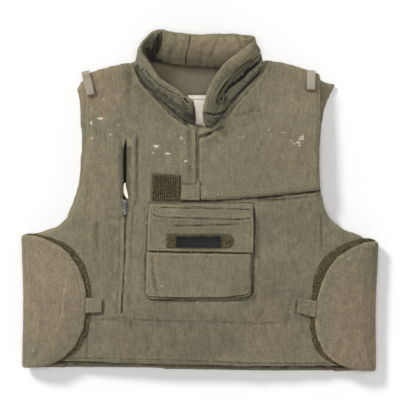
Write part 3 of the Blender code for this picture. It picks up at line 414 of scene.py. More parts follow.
class VestSizes(bpy.types.PropertyGroup):
    """Sizes a user may change before making the pieces."""

    panel_voxel: bpy.props.FloatProperty(
        name="Panel voxel", description="Remesh size of the large padded panels before the cloth step",
        default=0.0048, min=0.003, max=0.008, unit="LENGTH", precision=4)
    collar_voxel: bpy.props.FloatProperty(
        name="Collar voxel", description="Remesh size of the collar and the side flaps",
        default=0.00225, min=0.0018, max=0.006, unit="LENGTH", precision=4)
    thin_voxel: bpy.props.FloatProperty(
        name="Thin cloth voxel", description="Remesh size of pocket cloth and tapes",
        default=0.0013, min=0.0008, max=0.003, unit="LENGTH", precision=4)
    pressure: bpy.props.FloatProperty(
        name="Padding pressure", description="How hard the padding pushes its cloth out in the cloth step",
        default=4.0, min=0.0, max=20.0)
    swell: bpy.props.FloatProperty(
        name="Most swell", description="The furthest that a point of a padded panel may move in the cloth step",
        default=0.0026, min=0.0, max=0.01, unit="LENGTH", precision=4)
    stitch: bpy.props.FloatProperty(
        name="Stitch length", description="Distance from one stitch of a seam to the next",
        default=0.0032, min=0.002, max=0.006, unit="LENGTH", precision=4)
    thread: bpy.props.FloatProperty(
        name="Thread", description="Thickness of the sewing thread",
        default=0.0007, min=0.0003, max=0.002, unit="LENGTH", precision=4)
    tooth: bpy.props.FloatProperty(
        name="Zip tooth pitch", description="Distance from one zip tooth to the next",
        default=0.0019, min=0.001, max=0.004, unit="LENGTH", precision=4)


def colour(name, description, text):
    return bpy.props.FloatVectorProperty(
        name=name, description=description, subtype="COLOR", size=3, default=linear(text), min=0.0, max=1.0)


class VestColours(bpy.types.PropertyGroup):
    """Colours of the vest's cloths, tapes and fittings."""

    canvas_green: colour("Canvas", "Olive of the canvas where it has kept its dye", "#7a7660")
    canvas_brown: colour("Faded canvas", "Brown of the canvas where sun and dust have turned it", "#90806a")
    lining: colour("Lining", "Smooth cloth inside the vest", "#7b725d")
    grey_lining: colour("Collar pouch", "Grey nylon seen in the collar's open zip", "#85826f")
    loops: colour("Loop tape", "Dark pile of the hook and loop tapes", "#544e37")
    pale_tape: colour("Shoulder tape", "Grey beige tape of the shoulder loops", "#aea591")
    label: colour("Label", "Woven label inside the neck", "#fff6e6")
    rubber: colour("Rubber", "Moulded patch on the pocket flap", "#0d0c0d")
    metal: colour("Zip metal", "Worn painted sliders and rings", "#666560")
    thread: colour("Thread", "Thread of the seams", "#928b70")
    floor: colour("Floor", "Ground that the vest lies on", "#ffffff")


MM = 0.001
UP = Vector((0.0, 0.0, 1.0))
# Rays start from this height, and look for covers from this far inside the cloth, in metres
SKY = 0.5
PRESSED_IN = 0.002
# The front's height where a ray misses it, in metres
USUAL_HEIGHT = 0.03
# Seams at least this wide, in mm, are folds that swell with the cloth
WIDE_FOLD = 4.0
CLOTH_FRAMES = 14
# The finest remeshing, for pile and the label, in metres
FINE_VOXEL = 0.0008


# Arrays


def read(elements, name, width=1, kind=float):
    """One value or vector for every element of a mesh, as an array."""
    values = np.empty(len(elements) * width, kind)
    elements.foreach_get(name, values)
    return values.reshape(-1, width) if width > 1 else values


def points(obj):
    return read(obj.data.vertices, "co", 3)


def normals(obj):
    return read(obj.data.vertices, "normal", 3)


def move_points(obj, co):
    obj.data.vertices.foreach_set("co", co.ravel())
    obj.data.update()


def smoothstep(t):
    t = np.clip(t, 0.0, 1.0)
    return t * t * (3.0 - 2.0 * t)


def near(away, reach, power=2):
    """1 on a line, falling off smoothly to 0 past its reach."""
    return np.exp(-((away / reach) ** power))


def upward(obj):
    """How far each point of a piece lies on its upper face, 0 to 1."""
    return smoothstep(normals(obj)[:, 2] / 0.5)


def value_noise(p, step, seed):
    """Smooth values from -1 to 1 at points p, which change over about one step."""
    p = p / np.asarray(step) + seed * 13.7
    base = np.floor(p).astype(np.int64)
    t = smoothstep(p - base)
    total = np.zeros(len(p))
    for corner in itertools.product((0, 1), repeat=p.shape[1]):
        cell = base + np.array(corner)
        mixed = np.zeros(len(p), np.int64)
        # Large primes mix a cell's place into a value of its own
        for k, prime in zip(range(p.shape[1]), (73856093, 19349663, 83492791)):
            mixed ^= cell[:, k] * prime
        mixed = (mixed ^ (mixed >> 13)) * 1274126177 & 0x7FFFFFFF
        weight = np.prod(np.where(np.array(corner), t, 1.0 - t), axis=1)
        total += weight * ((mixed ^ (mixed >> 16)) % 65536 / 32767.5 - 1.0)
    return total


def along_line(co, line):
    """How far each point is from a line in the photograph's frame, and how far along it."""
    xy, path = co[:, :2], spots(line)
    best = np.full(len(xy), 1e9)
    at = np.zeros(len(xy))
    run = 0.0
    for a, b in zip(path, path[1:]):
        step = b - a
        length = max(1e-9, float(np.hypot(*step)))
        t = np.clip(((xy - a) @ step) / length**2, 0.0, 1.0)
        away = np.hypot(*(xy - a - t[:, None] * step).T)
        nearer = away < best
        best[nearer] = away[nearer]
        at[nearer] = run + t[nearer] * length
        run += length
    return best, at


def length_of(line):
    return np.hypot(*np.diff(spots(line), axis=0).T).sum()


# Objects


def give(thing, **settings):
    """Sets a thing's properties by their names."""
    for key, value in settings.items():
        setattr(thing, key, value)
    return thing


def pick(*objects):
    """Leaves only these objects selected, the last of them active."""
    bpy.ops.object.select_all(action="DESELECT")
    for obj in objects:
        obj.select_set(True)
    bpy.context.view_layer.objects.active = objects[-1]


def modifier(obj, kind, **settings):
    return give(obj.modifiers.new(kind.lower(), kind), **settings)


def apply_all(obj):
    pick(obj)
    for each in list(obj.modifiers):
        bpy.ops.object.modifier_apply(modifier=each.name)


def soften(obj, width, angle, segments=2):
    """Rounds a piece's sharp edges."""
    modifier(obj, "BEVEL", width=width, segments=segments, limit_method="ANGLE", angle_limit=math.radians(angle))
    apply_all(obj)


def edit(obj, *steps):
    """Runs edit mode operators on a whole object, each given as (operator, settings)."""
    pick(obj)
    bpy.ops.object.mode_set(mode="EDIT")
    bpy.ops.mesh.select_all(action="SELECT")
    for operator, settings in steps:
        operator(**settings)
    bpy.ops.object.mode_set(mode="OBJECT")


OUTWARDS = (bpy.ops.mesh.normals_make_consistent, {"inside": False})


def thicken(obj, thickness):
    """Gives a sheet its thickness and makes its faces point outwards."""
    modifier(obj, "SOLIDIFY", thickness=thickness, offset=0.0)
    apply_all(obj)
    edit(obj, OUTWARDS)


def primitive(operator, name, **settings):
    """Adds a primitive that alone is selected, and names it."""
    bpy.ops.object.select_all(action="DESELECT")
    operator(**settings)
    return give(bpy.context.object, name=name)


def settle(obj):
    """Puts an object's place, turn and size into its mesh."""
    pick(obj)
    bpy.ops.object.transform_apply(location=True, rotation=True, scale=True)


def block(name, centre, size):
    """A box of a given size around its centre."""
    made = primitive(bpy.ops.mesh.primitive_cube_add, name, size=1.0, location=centre)
    made.scale = size
    settle(made)
    return made


def choose(obj, kind, test):
    """In edit mode, selects only the edges or faces that pass a test."""
    bpy.ops.mesh.select_all(action="DESELECT")
    bm = bmesh.from_edit_mesh(obj.data)
    for each in getattr(bm, kind):
        each.select_set(test(each))
    bmesh.update_edit_mesh(obj.data)


def plate(name, centre, size, corner, rims, sink, edge):
    """A plate with round corners, rims round its top and a field sunk inside them, its edges softened."""
    made = block(name, centre, size)
    bpy.ops.object.mode_set(mode="EDIT")
    choose(made, "edges", lambda e: abs(e.verts[0].co.z - e.verts[1].co.z) > 0.0005)
    bpy.ops.mesh.bevel(offset=corner, segments=4, affect="EDGES")
    choose(made, "faces", lambda f: f.normal.z > 0.9)
    for rim in rims:
        bpy.ops.mesh.inset(thickness=rim)
    bpy.ops.transform.translate(value=(0.0, 0.0, -sink))
    bpy.ops.object.mode_set(mode="OBJECT")
    soften(made, edge, 35)
    return made


def linked(name, mesh):
    """A new object in the scene for a mesh, a light or a camera."""
    obj = bpy.data.objects.new(name, mesh)
    bpy.context.scene.collection.objects.link(obj)
    return obj


def welded_copy(node, name):
    """A copy of a CAD node as a closed mesh of its own."""
    obj = linked(name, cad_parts[node].data.copy())
    obj.data.materials.clear()
    pick(obj)
    bpy.ops.mesh.customdata_custom_splitnormals_clear()
    edit(obj, (bpy.ops.mesh.remove_doubles, {"threshold": 0.00002}))
    return obj


def even(obj, voxel, blur):
    """Remeshes an object evenly and smooths its facets away."""
    pick(obj)
    obj.data.remesh_voxel_size = voxel
    bpy.ops.object.voxel_remesh()
    modifier(obj, "SMOOTH", factor=0.5, iterations=blur)
    apply_all(obj)


def cloth_copy(node, kind, voxel, blur):
    """A CAD node's solid as an even mesh, named for the node and its kind of cloth."""
    obj = welded_copy(node, f"{node}_{kind}")
    even(obj, voxel, blur)
    return obj


def tree_of(meshes):
    corners, faces = [], []
    for mesh in meshes:
        start = len(corners)
        corners += [v.co.copy() for v in mesh.vertices]
        faces += [[start + i for i in p.vertices] for p in mesh.polygons]
    return BVHTree.FromPolygons(corners, faces)


def others(own, but="none"):
    """The surfaces of every CAD node but one, and but those whose names start as given."""
    return tree_of([n.data for name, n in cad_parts.items() if name != own and not name.startswith(but)])


def covered(co, own, reach=0.004):
    """Which points have another CAD node lying within reach over them."""
    tree = others(own)
    hit = np.zeros(len(co), bool)
    for k, p in enumerate(co):
        hit[k] = tree.ray_cast(Vector(p) - UP * PRESSED_IN, UP, reach + PRESSED_IN)[0] is not None
    return hit


def on_seams(co, piece, reach):
    """Which points lie within reach of a piece's seams, wide folds left out."""
    found = np.zeros(len(co), bool)
    for width, _, _, _, line in SEAMS[piece]:
        if width < WIDE_FOLD:
            found |= along_line(co, line)[0] < reach
    return found


def puff(obj, held, pressure, most):
    """Blows an even mesh up as cloth with its held points still, limits how far any moves, and refines it."""
    if pressure > 0.0:
        rest = points(obj)
        move_points(obj, rest - normals(obj) * np.where(held, 0.0, most * 0.25)[:, None])
        group = obj.vertex_groups.new(name="held")
        group.add(np.flatnonzero(held).tolist(), 1.0, "REPLACE")
        cloth = modifier(obj, "CLOTH")
        give(
            cloth.settings, quality=3, mass=0.3, tension_stiffness=12.0, compression_stiffness=12.0,
            bending_stiffness=0.4, use_pressure=True, uniform_pressure_force=pressure,
            vertex_group_mass="held")
        cloth.settings.effector_weights.gravity = 0.0
        cloth.collision_settings.use_collision = False
        give(cloth.point_cache, frame_start=1, frame_end=CLOTH_FRAMES)
        scene = bpy.context.scene
        for frame in range(1, CLOTH_FRAMES + 1):
            scene.frame_set(frame)
        apply_all(obj)
        scene.frame_set(1)
        obj.vertex_groups.clear()
        moved = points(obj) - rest
        size = np.linalg.norm(moved, axis=1)
        share = np.minimum(1.0, most / np.maximum(size, 1e-9))
        move_points(obj, rest + moved * share[:, None])
    modifier(obj, "SUBSURF", levels=1, render_levels=1)
    apply_all(obj)


def spread(obj, amount):
    """Moves a piece's edges out sideways, as far as remeshing has drawn them in."""
    co, no = points(obj), normals(obj)
    side = smoothstep((0.85 - np.abs(no[:, 2])) / 0.6)
    co[:, :2] += no[:, :2] * (side * amount)[:, None]
    move_points(obj, co)


def nudge(obj, *moves):
    """Moves a piece sideways around places: px, py, reach mm, and the move to +x and +y in mm."""
    co = points(obj)
    start = co[:, :2].copy()
    for px, py, reach, dx, dy in moves:
        away = np.hypot(*(start - np.array(spot(px, py))).T)
        co[:, :2] += near(away, reach * MM)[:, None] * np.array([dx, dy]) * MM
    move_points(obj, co)


def raise_points(obj, rise):
    """Lifts each point of a piece by a rise of its own."""
    co = points(obj)
    co[:, 2] += rise
    move_points(obj, co)


def above_floor(obj):
    co = points(obj)
    co[:, 2] = np.maximum(co[:, 2], 0.0)
    move_points(obj, co)


def set_attribute(obj, name, values, most=1.0):
    made = obj.data.attributes.get(name) or obj.data.attributes.new(name, "FLOAT", "POINT")
    made.data.foreach_set("value", np.clip(values, 0.0, most).astype(np.float32))


def get_attribute(obj, name):
    found = obj.data.attributes.get(name)
    return read(found.data, "value") if found else np.zeros(len(obj.data.vertices))


def dust_and_contact_shade(obj, own, reach=0.0022, strength=0.62):
    """Darkens a piece where another one lies close on it: dust that settles there, and painted shade where light
    can't get in.
    """
    tree = others(own, "loop_field")
    co = points(obj)
    dark = get_attribute(obj, "dirt")
    uneven = 1.0 + 0.35 * value_noise(co, 0.005, 17)
    for k, p in enumerate(co):
        away = tree.find_nearest(Vector(p), 3.0 * reach)[3]
        if away is not None:
            dark[k] = max(dark[k], strength * uneven[k] * math.exp(-((away / reach) ** 2)))
    set_attribute(obj, "dirt", dark)


def wear_and_crease_shade(obj, scale=0.10):
    """Marks edges for a lighter tone, part rubbing and part painted highlight, and paints shade in creases."""
    co, no = points(obj), normals(obj)
    a, b = read(obj.data.edges, "vertices", 2, np.int64).T

    def gathered(values):
        total = np.zeros(values.shape)
        np.add.at(total, a, values[b])
        np.add.at(total, b, values[a])
        return total

    count = gathered(np.ones(len(co)))
    step = np.linalg.norm(co[a] - co[b], axis=1).mean()
    bulge = ((co - gathered(co) / count[:, None]) * no).sum(1) / step
    for _ in range(3):
        bulge = 0.5 * bulge + 0.5 * gathered(bulge) / count
    set_attribute(obj, "worn", bulge / scale)
    set_attribute(obj, "dirt", get_attribute(obj, "dirt") + 0.45 * np.clip(-bulge / scale, 0.0, 1.0))


def weather_and_shade(obj, node, *close):
    """Soils and rubs a piece of canvas, paints shade at contacts and creases, and gives it its material."""
    dust_and_contact_shade(obj, node, *close)
    wear_and_crease_shade(obj)
    obj.data.materials.append(finishes()["canvas"])


def sew(obj, piece, creep, seed):
    """Presses a piece's seams and folds into its upper face and gives its cloth an uneven lie."""
    co, no = points(obj), normals(obj)
    top = smoothstep((no[:, 2] + 0.15) / 0.25) if piece == "collar" else upward(obj)
    dirt = get_attribute(obj, "dirt")
    lift = np.zeros(len(co))
    for width, depth, soil, ripple, line in SEAMS[piece]:
        width, depth, ripple = width * MM, depth * MM, ripple * MM
        away, at = along_line(co, line)
        ends = smoothstep(at / 0.006) * smoothstep((length_of(line) - at) / 0.006)
        sway = value_noise(at[:, None], 0.011, seed + 3) + 0.6 * value_noise(at[:, None], 0.0034, seed + 4)
        # A groove of uneven depth, a low roll on each side of it, ripples across it and its darkening, part
        # soiling and part painted shade
        depth_here = depth * (1.0 + 0.35 * sway) * ends
        lift -= depth_here * near(away, width)
        lift += 0.32 * depth_here * near(away - 2.3 * width, 1.3 * width)
        lift += ripple * value_noise(at[:, None], 0.0055, seed + 9) * near(away, 0.007)
        stain_and_shade = near(away, width * 0.90) * (0.85 + 0.45 * sway) * ends
        dirt = np.maximum(dirt, soil * stain_and_shade * top)
    for share, step, k in ((1.0, (0.021, 0.034), 0), (0.45, (0.009, 0.015), 1), (0.25, (0.0048, 0.0065), 2)):
        lift += creep * share * value_noise(co[:, :2], step, seed + k)
    rub = np.zeros(len(co))
    for width, strength, line in RUBS.get(piece, ()):
        away, at = along_line(co, line)
        patchy = np.clip(0.75 + 0.6 * value_noise(at[:, None], 0.006, 29), 0.0, 1.0)
        rub = np.maximum(rub, strength * patchy * top * near(away, width * MM))
    move_points(obj, co + no * (lift * top)[:, None])
    set_attribute(obj, "dirt", dirt)
    if rub.any():
        set_attribute(obj, "rub", rub)


def line_with(obj, inner, chosen):
    """Gives the faces whose middles and normals are chosen the inner material."""
    faces = obj.data.polygons
    obj.data.materials.append(inner)
    index = read(faces, "material_index", 1, np.int32)
    index[chosen(read(faces, "center", 3), read(faces, "normal", 3))] = len(obj.data.materials) - 1
    faces.foreach_set("material_index", index)
    obj.data.update()


def finish_piece(obj, key, slot, *nodes, coat=None, angle=60.0):
    """Shades a finished piece, hangs it on the vest's body and lets it stand for its nodes."""
    if coat:
        obj.data.materials.append(coat)
    pick(obj)
    bpy.ops.object.shade_smooth_by_angle(angle=math.radians(angle))
    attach(obj, "root")
    if nodes:
        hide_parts(*nodes)
    PIECES[key] = obj
    return obj


def surface_of(*keys):
    """The upper surface of finished pieces, for laying things on."""
    return tree_of([PIECES[key].data for key in keys])


def from_above(tree, x, y):
    """The place and upward normal of a surface under x, y, or None twice where there is none."""
    place, normal, _, _ = tree.ray_cast(Vector((x, y, SKY)), -UP)
    if place is None:
        return None, None
    return place, normal if normal.z > 0.0 else -normal


def drop(tree, x, y):
    """The same, with a level place at the front's usual height where there is none."""
    place, normal = from_above(tree, x, y)
    return (Vector((x, y, USUAL_HEIGHT)), UP) if place is None else (place, normal)


def heights(tree, co):
    """The heights of a surface under many points."""
    return np.array([drop(tree, p[0], p[1])[0].z for p in co])


def copies(name, template, frames):
    """One object of many copies of a template mesh, each put in its own frame."""
    co = points(template)
    faces = [list(p.vertices) for p in template.data.polygons]
    corners = [np.array(f)[:3, :3] @ co.T + np.array(f)[:3, 3:4] for f in frames]
    mesh = bpy.data.meshes.new(name)
    all_faces = [[i + k * len(co) for i in f] for k in range(len(frames)) for f in faces]
    mesh.from_pydata(np.concatenate([c.T for c in corners]), [], all_faces)
    bpy.data.objects.remove(template)
    return linked(name, mesh)


def frame_at(place, along, normal=(0.0, 0.0, 1.0), scale=1.0):
    """A 4 by 4 frame with x along, z as near the normal as can be, at a place."""
    x = Vector(along).normalized()
    y = Vector(normal).cross(x).normalized()
    z = x.cross(y)
    made = np.eye(4)
    made[:3, 0], made[:3, 1], made[:3, 2] = x * scale, y * scale, z * scale
    made[:3, 3] = place
    return made


def spaced(path, step):
    """Places along a path, one every step, each with its direction."""
    found = []
    left = step / 2
    for a, b in zip(path, path[1:]):
        a, b = Vector(a), Vector(b)
        length = (b - a).length
        if length < 1e-9:
            continue
        direction = (b - a) / length
        while left <= length:
            found.append((a + direction * left, direction))
            left += step
        left -= length
    return found


# Materials


def add(tree, kind, links=None, output=0, **settings):
    """Adds a node with its settings, links or sets its inputs and gives one of its outputs."""
    node = give(tree.nodes.new(kind), **settings)
    for key, value in (links or {}).items():
        if isinstance(value, bpy.types.NodeSocket):
            tree.links.new(value, node.inputs[key])
        else:
            node.inputs[key].default_value = value
    return node.outputs[output]


def material(name, **sockets):
    """A material with a plain Principled shader: also its tree, its shader and its place in metres."""
    made = bpy.data.materials.new(name)
    made.use_nodes = True
    tree = made.node_tree
    shader = tree.nodes["Principled BSDF"]
    for key, value in sockets.items():
        shader.inputs[key.replace("_", " ")].default_value = value
    return made, tree, shader, add(tree, "ShaderNodeTexCoord", output="Object")


def layer(tree, base, over, where, low=0.0, high=1.0, most=1.0, blend="MIX", ease="SMOOTHSTEP"):
    """Lays a colour over the base, or multiplies by it, as a pattern goes from low to high."""
    share = add(tree, "ShaderNodeMapRange", {
        "Value": where, "From Min": low, "From Max": high, "To Min": 0.0, "To Max": most,
    }, interpolation_type=ease)
    if not isinstance(base, bpy.types.NodeSocket):
        base = (*tuple(base)[:3], 1.0)
    over = (*tuple(over)[:3], 1.0)
    return add(tree, "ShaderNodeMix", {0: share, 6: base, 7: over}, output=2, data_type="RGBA", blend_type=blend)


def tint(tree, base, by, where, low=0.0, high=1.0, most=1.0):
    """Multiplies the base where a pattern goes from low to high."""
    return layer(tree, base, by, where, low, high, most, "MULTIPLY")


def marked(tree, base, over, mark, blend="MULTIPLY"):
    """Lays a colour over the base as strongly as a mark on the cloth says."""
    return layer(tree, base, over, add(tree, "ShaderNodeAttribute", output="Fac", attribute_name=mark),
                 blend=blend, ease="LINEAR")


def patches(tree, base, over, place, table, edge, torn, blend="MIX"):
    """Lays a colour in a table's oval patches with torn edges. edge holds where a patch ends and is full."""
    total = 0.0
    for px, py, wide, long, strength in table:
        x, y = spot(px, py)
        off = add(tree, "ShaderNodeMapping", {
            "Vector": place, "Location": (-x / (wide * MM), -y / (long * MM), 0.0),
            "Scale": (1000.0 / wide, 1000.0 / long, 0.0),
        })
        away = add(tree, "ShaderNodeVectorMath", {0: off}, output="Value", operation="LENGTH")
        here = add(tree, "ShaderNodeMapRange", {
            "Value": add(tree, "ShaderNodeMath", {0: away, 1: torn}, operation="ADD"),
            "From Min": edge[0], "From Max": edge[1], "To Max": strength,
        }, interpolation_type="SMOOTHSTEP")
        total = add(tree, "ShaderNodeMath", {0: here, 1: total}, operation="MAXIMUM")
    return layer(tree, base, over, total, blend=blend, ease="LINEAR")


def surface(tree, shader, base, height, strength, depth):
    """Links a finished colour and a bump of the given strength and depth to the shader."""
    tree.links.new(base, shader.inputs["Base Color"])
    bump = add(tree, "ShaderNodeBump", {"Height": height, "Strength": strength, "Distance": depth})
    tree.links.new(bump, shader.inputs["Normal"])


def weave(tree, place, thread, height):
    """A plain weave's height. Real threads are 0.5 mm: they are drawn wider so that they show."""
    bands = {"Vector": place, "Scale": 0.314 / thread, "Distortion": 1.2, "Detail": 1.0, "Detail Scale": 2.0}
    across = add(tree, "ShaderNodeTexWave", bands, output="Fac", bands_direction="X")
    up = add(tree, "ShaderNodeTexWave", bands, output="Fac", bands_direction="Y")
    return add(tree, "ShaderNodeMath", {0: across, 1: up, 2: height}, operation="MULTIPLY_ADD")


def canvas(name, colours):
    """Olive cotton and nylon canvas, washed and sun bleached.

    To the eye: a dull cloth with upright slubs, a fine plain weave, brown clouds where the sun has
    bleached it, pale flecks of lint, darker lines along the seams, creases and gaps that are part settled
    soiling and part painted shade, and edges lightened partly by rubbing and partly as a painted highlight.
    """
    made, tree, shader, place = material(
        name, Roughness=0.88, IOR=1.45, Sheen_Weight=0.10, Sheen_Roughness=0.6, Specular_IOR_Level=0.2)
    # Clouds 15 to 60 mm across all over, and sunned and dusky areas whose edges they tear
    clouds = add(tree, "ShaderNodeTexNoise", {"Vector": place, "Scale": 22.0, "Detail": 4.0, "Roughness": 0.6})
    torn = add(tree, "ShaderNodeMath", {0: clouds, 1: 1.6, 2: -0.8}, operation="MULTIPLY_ADD")
    base = layer(tree, colours.canvas_green, colours.canvas_brown, clouds, 0.54, 0.74, 0.40)
    base = patches(tree, base, colours.canvas_brown, place, SUNNED, (1.0, 0.35), torn)
    base = patches(tree, base, (0.78, 0.77, 0.76), place, DUSKY, (1.0, 0.45), torn, "MULTIPLY")
    # Blotches 5 to 15 mm across
    moved = add(tree, "ShaderNodeMapping", {"Vector": place, "Location": (3.1, 1.7, 0.0)})
    blotch = add(tree, "ShaderNodeTexNoise", {"Vector": moved, "Scale": 75.0, "Detail": 3.0, "Roughness": 0.65})
    base = tint(tree, base, (0.88, 0.89, 0.88), blotch, 0.44, 0.66, 0.9)
    base = tint(tree, base, (1.10, 1.09, 1.07), blotch, 0.48, 0.30, 0.8)
    # Slubs are thick threads about 1.5 mm wide and 15 to 30 mm long
    drawn = add(tree, "ShaderNodeMapping", {"Vector": place, "Scale": (600.0, 52.0, 300.0)})
    slubs = add(tree, "ShaderNodeTexNoise", {"Vector": drawn, "Scale": 1.0, "Detail": 2.5, "Roughness": 0.65})
    base = tint(tree, base, (1.24, 1.21, 1.16), slubs, 0.50, 0.70, 0.85)
    base = tint(tree, base, (0.77, 0.77, 0.76), slubs, 0.48, 0.30, 0.85)
    grain = add(tree, "ShaderNodeTexNoise", {"Vector": place, "Scale": 560.0, "Detail": 2.0, "Roughness": 0.75})
    base = tint(tree, base, (1.28, 1.26, 1.22), grain, 0.44, 0.64, 0.85)
    base = tint(tree, base, (0.68, 0.69, 0.68), grain, 0.48, 0.32, 0.85)
    # Pale flecks of lint, 1 to 2 mm across
    cells = add(tree, "ShaderNodeTexVoronoi", {"Vector": place, "Scale": 105.0, "Randomness": 1.0})
    chance = add(tree, "ShaderNodeSeparateColor", {"Color": cells.node.outputs["Color"]})
    close = add(tree, "ShaderNodeMapRange", {"Value": cells, "From Min": 0.135, "From Max": 0.05})
    fleck = add(tree, "ShaderNodeMath", {0: close, 1: chance}, operation="MULTIPLY")
    base = layer(tree, base, linear("#b5ab93"), fleck, 0.55, 0.98, 0.75)
    # Dried splashes, ragged in steps of 2 to 3 mm
    moved = add(tree, "ShaderNodeMapping", {"Vector": place, "Location": (0.7, 0.2, 0.0)})
    ragged = add(tree, "ShaderNodeTexNoise", {"Vector": moved, "Scale": 420.0, "Detail": 2.0, "Roughness": 0.6})
    ragged = add(tree, "ShaderNodeMath", {0: ragged, 1: 2.3, 2: -1.15}, operation="MULTIPLY_ADD")
    base = patches(tree, base, linear("#ddd7c2"), place, SPECKS, (1.05, 0.35), ragged)
    # Lighter where the mark says: rubbed edges that are part rubbing and part painted highlight, and painted light
    # on the collar's inner face at the back
    base = marked(tree, base, (1.34, 1.30, 1.24), "worn")
    base = marked(tree, base, linear("#b7a290"), "rub", "MIX")
    base = marked(tree, base, colours.grey_lining, "pouch", "MIX")
    # Darker where the mark says: part soiling and part painted shade in seams, creases, gaps and hollows
    base = marked(tree, base, (0.075, 0.070, 0.058), "dirt")
    height = add(tree, "ShaderNodeMath", {0: slubs, 1: 1.1, 2: 0.0}, operation="MULTIPLY_ADD")
    height = add(tree, "ShaderNodeMath", {0: grain, 1: 1.6, 2: height}, operation="MULTIPLY_ADD")
    surface(tree, shader, base, weave(tree, place, 0.0012, height), 0.55, 0.0004)
    return made


def plain_cloth(name, value, thread=0.0009, roughness=0.8, stained=0.15, sheen=0.1, strength=0.35):
    """Smooth woven nylon or tape: an even cloth with a fine weave and faint soiling."""
    made, tree, shader, place = material(
        name, Roughness=roughness, IOR=1.5, Sheen_Weight=sheen, Specular_IOR_Level=0.3)
    soil = add(tree, "ShaderNodeTexNoise", {"Vector": place, "Scale": 40.0, "Detail": 3.0, "Roughness": 0.6})
    base = layer(tree, value, [0.45 * c for c in tuple(value)[:3]], soil, 0.35, 0.75, stained)
    grain = add(tree, "ShaderNodeTexNoise", {"Vector": place, "Scale": 700.0, "Detail": 2.0, "Roughness": 0.7})
    base = tint(tree, base, (0.74, 0.74, 0.73), grain, 0.40, 0.62, 0.40)
    # Edges lighter, part rubbing and part painted highlight; folds, ends and gaps darker, part soiling and part
    # painted shade
    base = marked(tree, base, (1.4, 1.38, 1.34), "worn")
    base = marked(tree, base, (0.14, 0.135, 0.12), "dirt")
    height = add(tree, "ShaderNodeMath", {0: grain, 1: 1.6}, operation="MULTIPLY")
    surface(tree, shader, base, weave(tree, place, thread, height), strength, 0.0004)
    return made


def pile(name, value):
    """Nylon loop pile: dark, matte and fuzzy, with paler broken loops caught in it."""
    made, tree, shader, place = material(
        name, Roughness=0.95, IOR=1.5, Sheen_Weight=0.25, Sheen_Roughness=0.4, Specular_IOR_Level=0.15)
    fuzz = add(tree, "ShaderNodeTexNoise", {"Vector": place, "Scale": 520.0, "Detail": 3.0, "Roughness": 0.75})
    base = tint(tree, value, (2.9, 2.8, 2.6), fuzz, 0.52, 0.66)
    base = tint(tree, base, (0.24, 0.24, 0.22), fuzz, 0.48, 0.36)
    # Painted shade in the pile's hollows, between its ribs and along the side flaps' edges
    base = marked(tree, base, (0.22, 0.21, 0.18), "dirt")
    surface(tree, shader, base, fuzz, 0.9, 0.0012)
    return made


def moulded_rubber(name, value):
    """Soft moulded rubber: near black, satin, with a fine even grain and pale rubbed dust."""
    made, tree, shader, place = material(name, Roughness=0.55, IOR=1.5, Specular_IOR_Level=0.22)
    dust = add(tree, "ShaderNodeTexNoise", {"Vector": place, "Scale": 180.0, "Detail": 3.0, "Roughness": 0.6})
    base = layer(tree, value, linear("#3a3733"), dust, 0.45, 0.80, 0.22)
    # Paler edges, part rubbing and part painted highlight
    base = marked(tree, base, linear("#4a4640"), "worn", "MIX")
    # Mould grain, half a millimetre across
    grain = add(tree, "ShaderNodeTexNoise", {"Vector": place, "Scale": 1800.0, "Detail": 1.0})
    surface(tree, shader, base, grain, 0.25, 0.0002)
    return made


def worn_metal(name, value, metallic=0.75):
    """Die cast zinc, painted grey and rubbed bright on its edges."""
    made, tree, shader, place = material(name, Metallic=metallic)
    rubbed = add(tree, "ShaderNodeTexNoise", {"Vector": place, "Scale": 420.0, "Detail": 3.0, "Roughness": 0.65})
    base = layer(tree, value, linear("#a2a2a2"), rubbed, 0.52, 0.72, 0.8)
    rough = add(tree, "ShaderNodeMapRange", {
        "Value": rubbed, "From Min": 0.40, "From Max": 0.70, "To Min": 0.55, "To Max": 0.34})
    tree.links.new(rough, shader.inputs["Roughness"])
    surface(tree, shader, base, rubbed, 0.2, 0.0003)
    return made


# Finished materials by their keys
MADE = {}


def finishes():
    """The vest's materials, made once."""
    if MADE:
        return MADE
    c = bpy.context.scene.vest_colours
    MADE["canvas"] = canvas("faded_olive_canvas", c)
    MADE["lining"] = plain_cloth("olive_lining", c.lining)
    # The slit's walls are painted near black as the shade inside the pocket
    MADE["pocket_dark"] = plain_cloth("dark_pocket_lining", linear("#14130f"), stained=0.0, sheen=0.0)
    MADE["loops"] = pile("loop_pile", c.loops)
    MADE["tape"] = plain_cloth("pale_woven_tape", c.pale_tape, thread=0.0011, strength=0.6)
    MADE["zip_tape"] = plain_cloth("olive_zip_tape", linear("#615c47"), thread=0.0008)
    MADE["teeth"] = plain_cloth("nylon_coil", linear("#2c2a22"), roughness=0.45, strength=0.0)
    MADE["label"] = plain_cloth("woven_label", c.label, thread=0.0007, stained=0.10)
    MADE["rubber"] = moulded_rubber("moulded_rubber", c.rubber)
    MADE["metal"] = worn_metal("worn_grey_metal", c.metal)
    MADE["ring"] = worn_metal("painted_ring", linear("#8d8a76"), 0.1)
    MADE["thread"] = plain_cloth("olive_thread", c.thread, roughness=0.7, strength=0.0)
    return MADE


# Pieces

FLOOR_SIZE = 12.0
# The floor lies just under the vest, so that the two don't share a plane
FLOOR_HEIGHT = -0.0006
SKY_LIGHT = 0.30
# Softboxes far enough off to light the floor evenly, one high on the upper left and one overhead:
# name, place, angle in degrees, strength
SOFTBOXES = (
    ("key", (-1.45, 1.55, 1.75), 13.0, 1.75),
    ("overhead", (0.0, 0.1, 3.0), 24.0, 1.15),
)
# The camera looks straight down from far off, as the photograph shows almost no perspective
CAMERA_DISTANCE = 8.0
CAMERA_LIFT = 0.03
SENSOR = 36.0


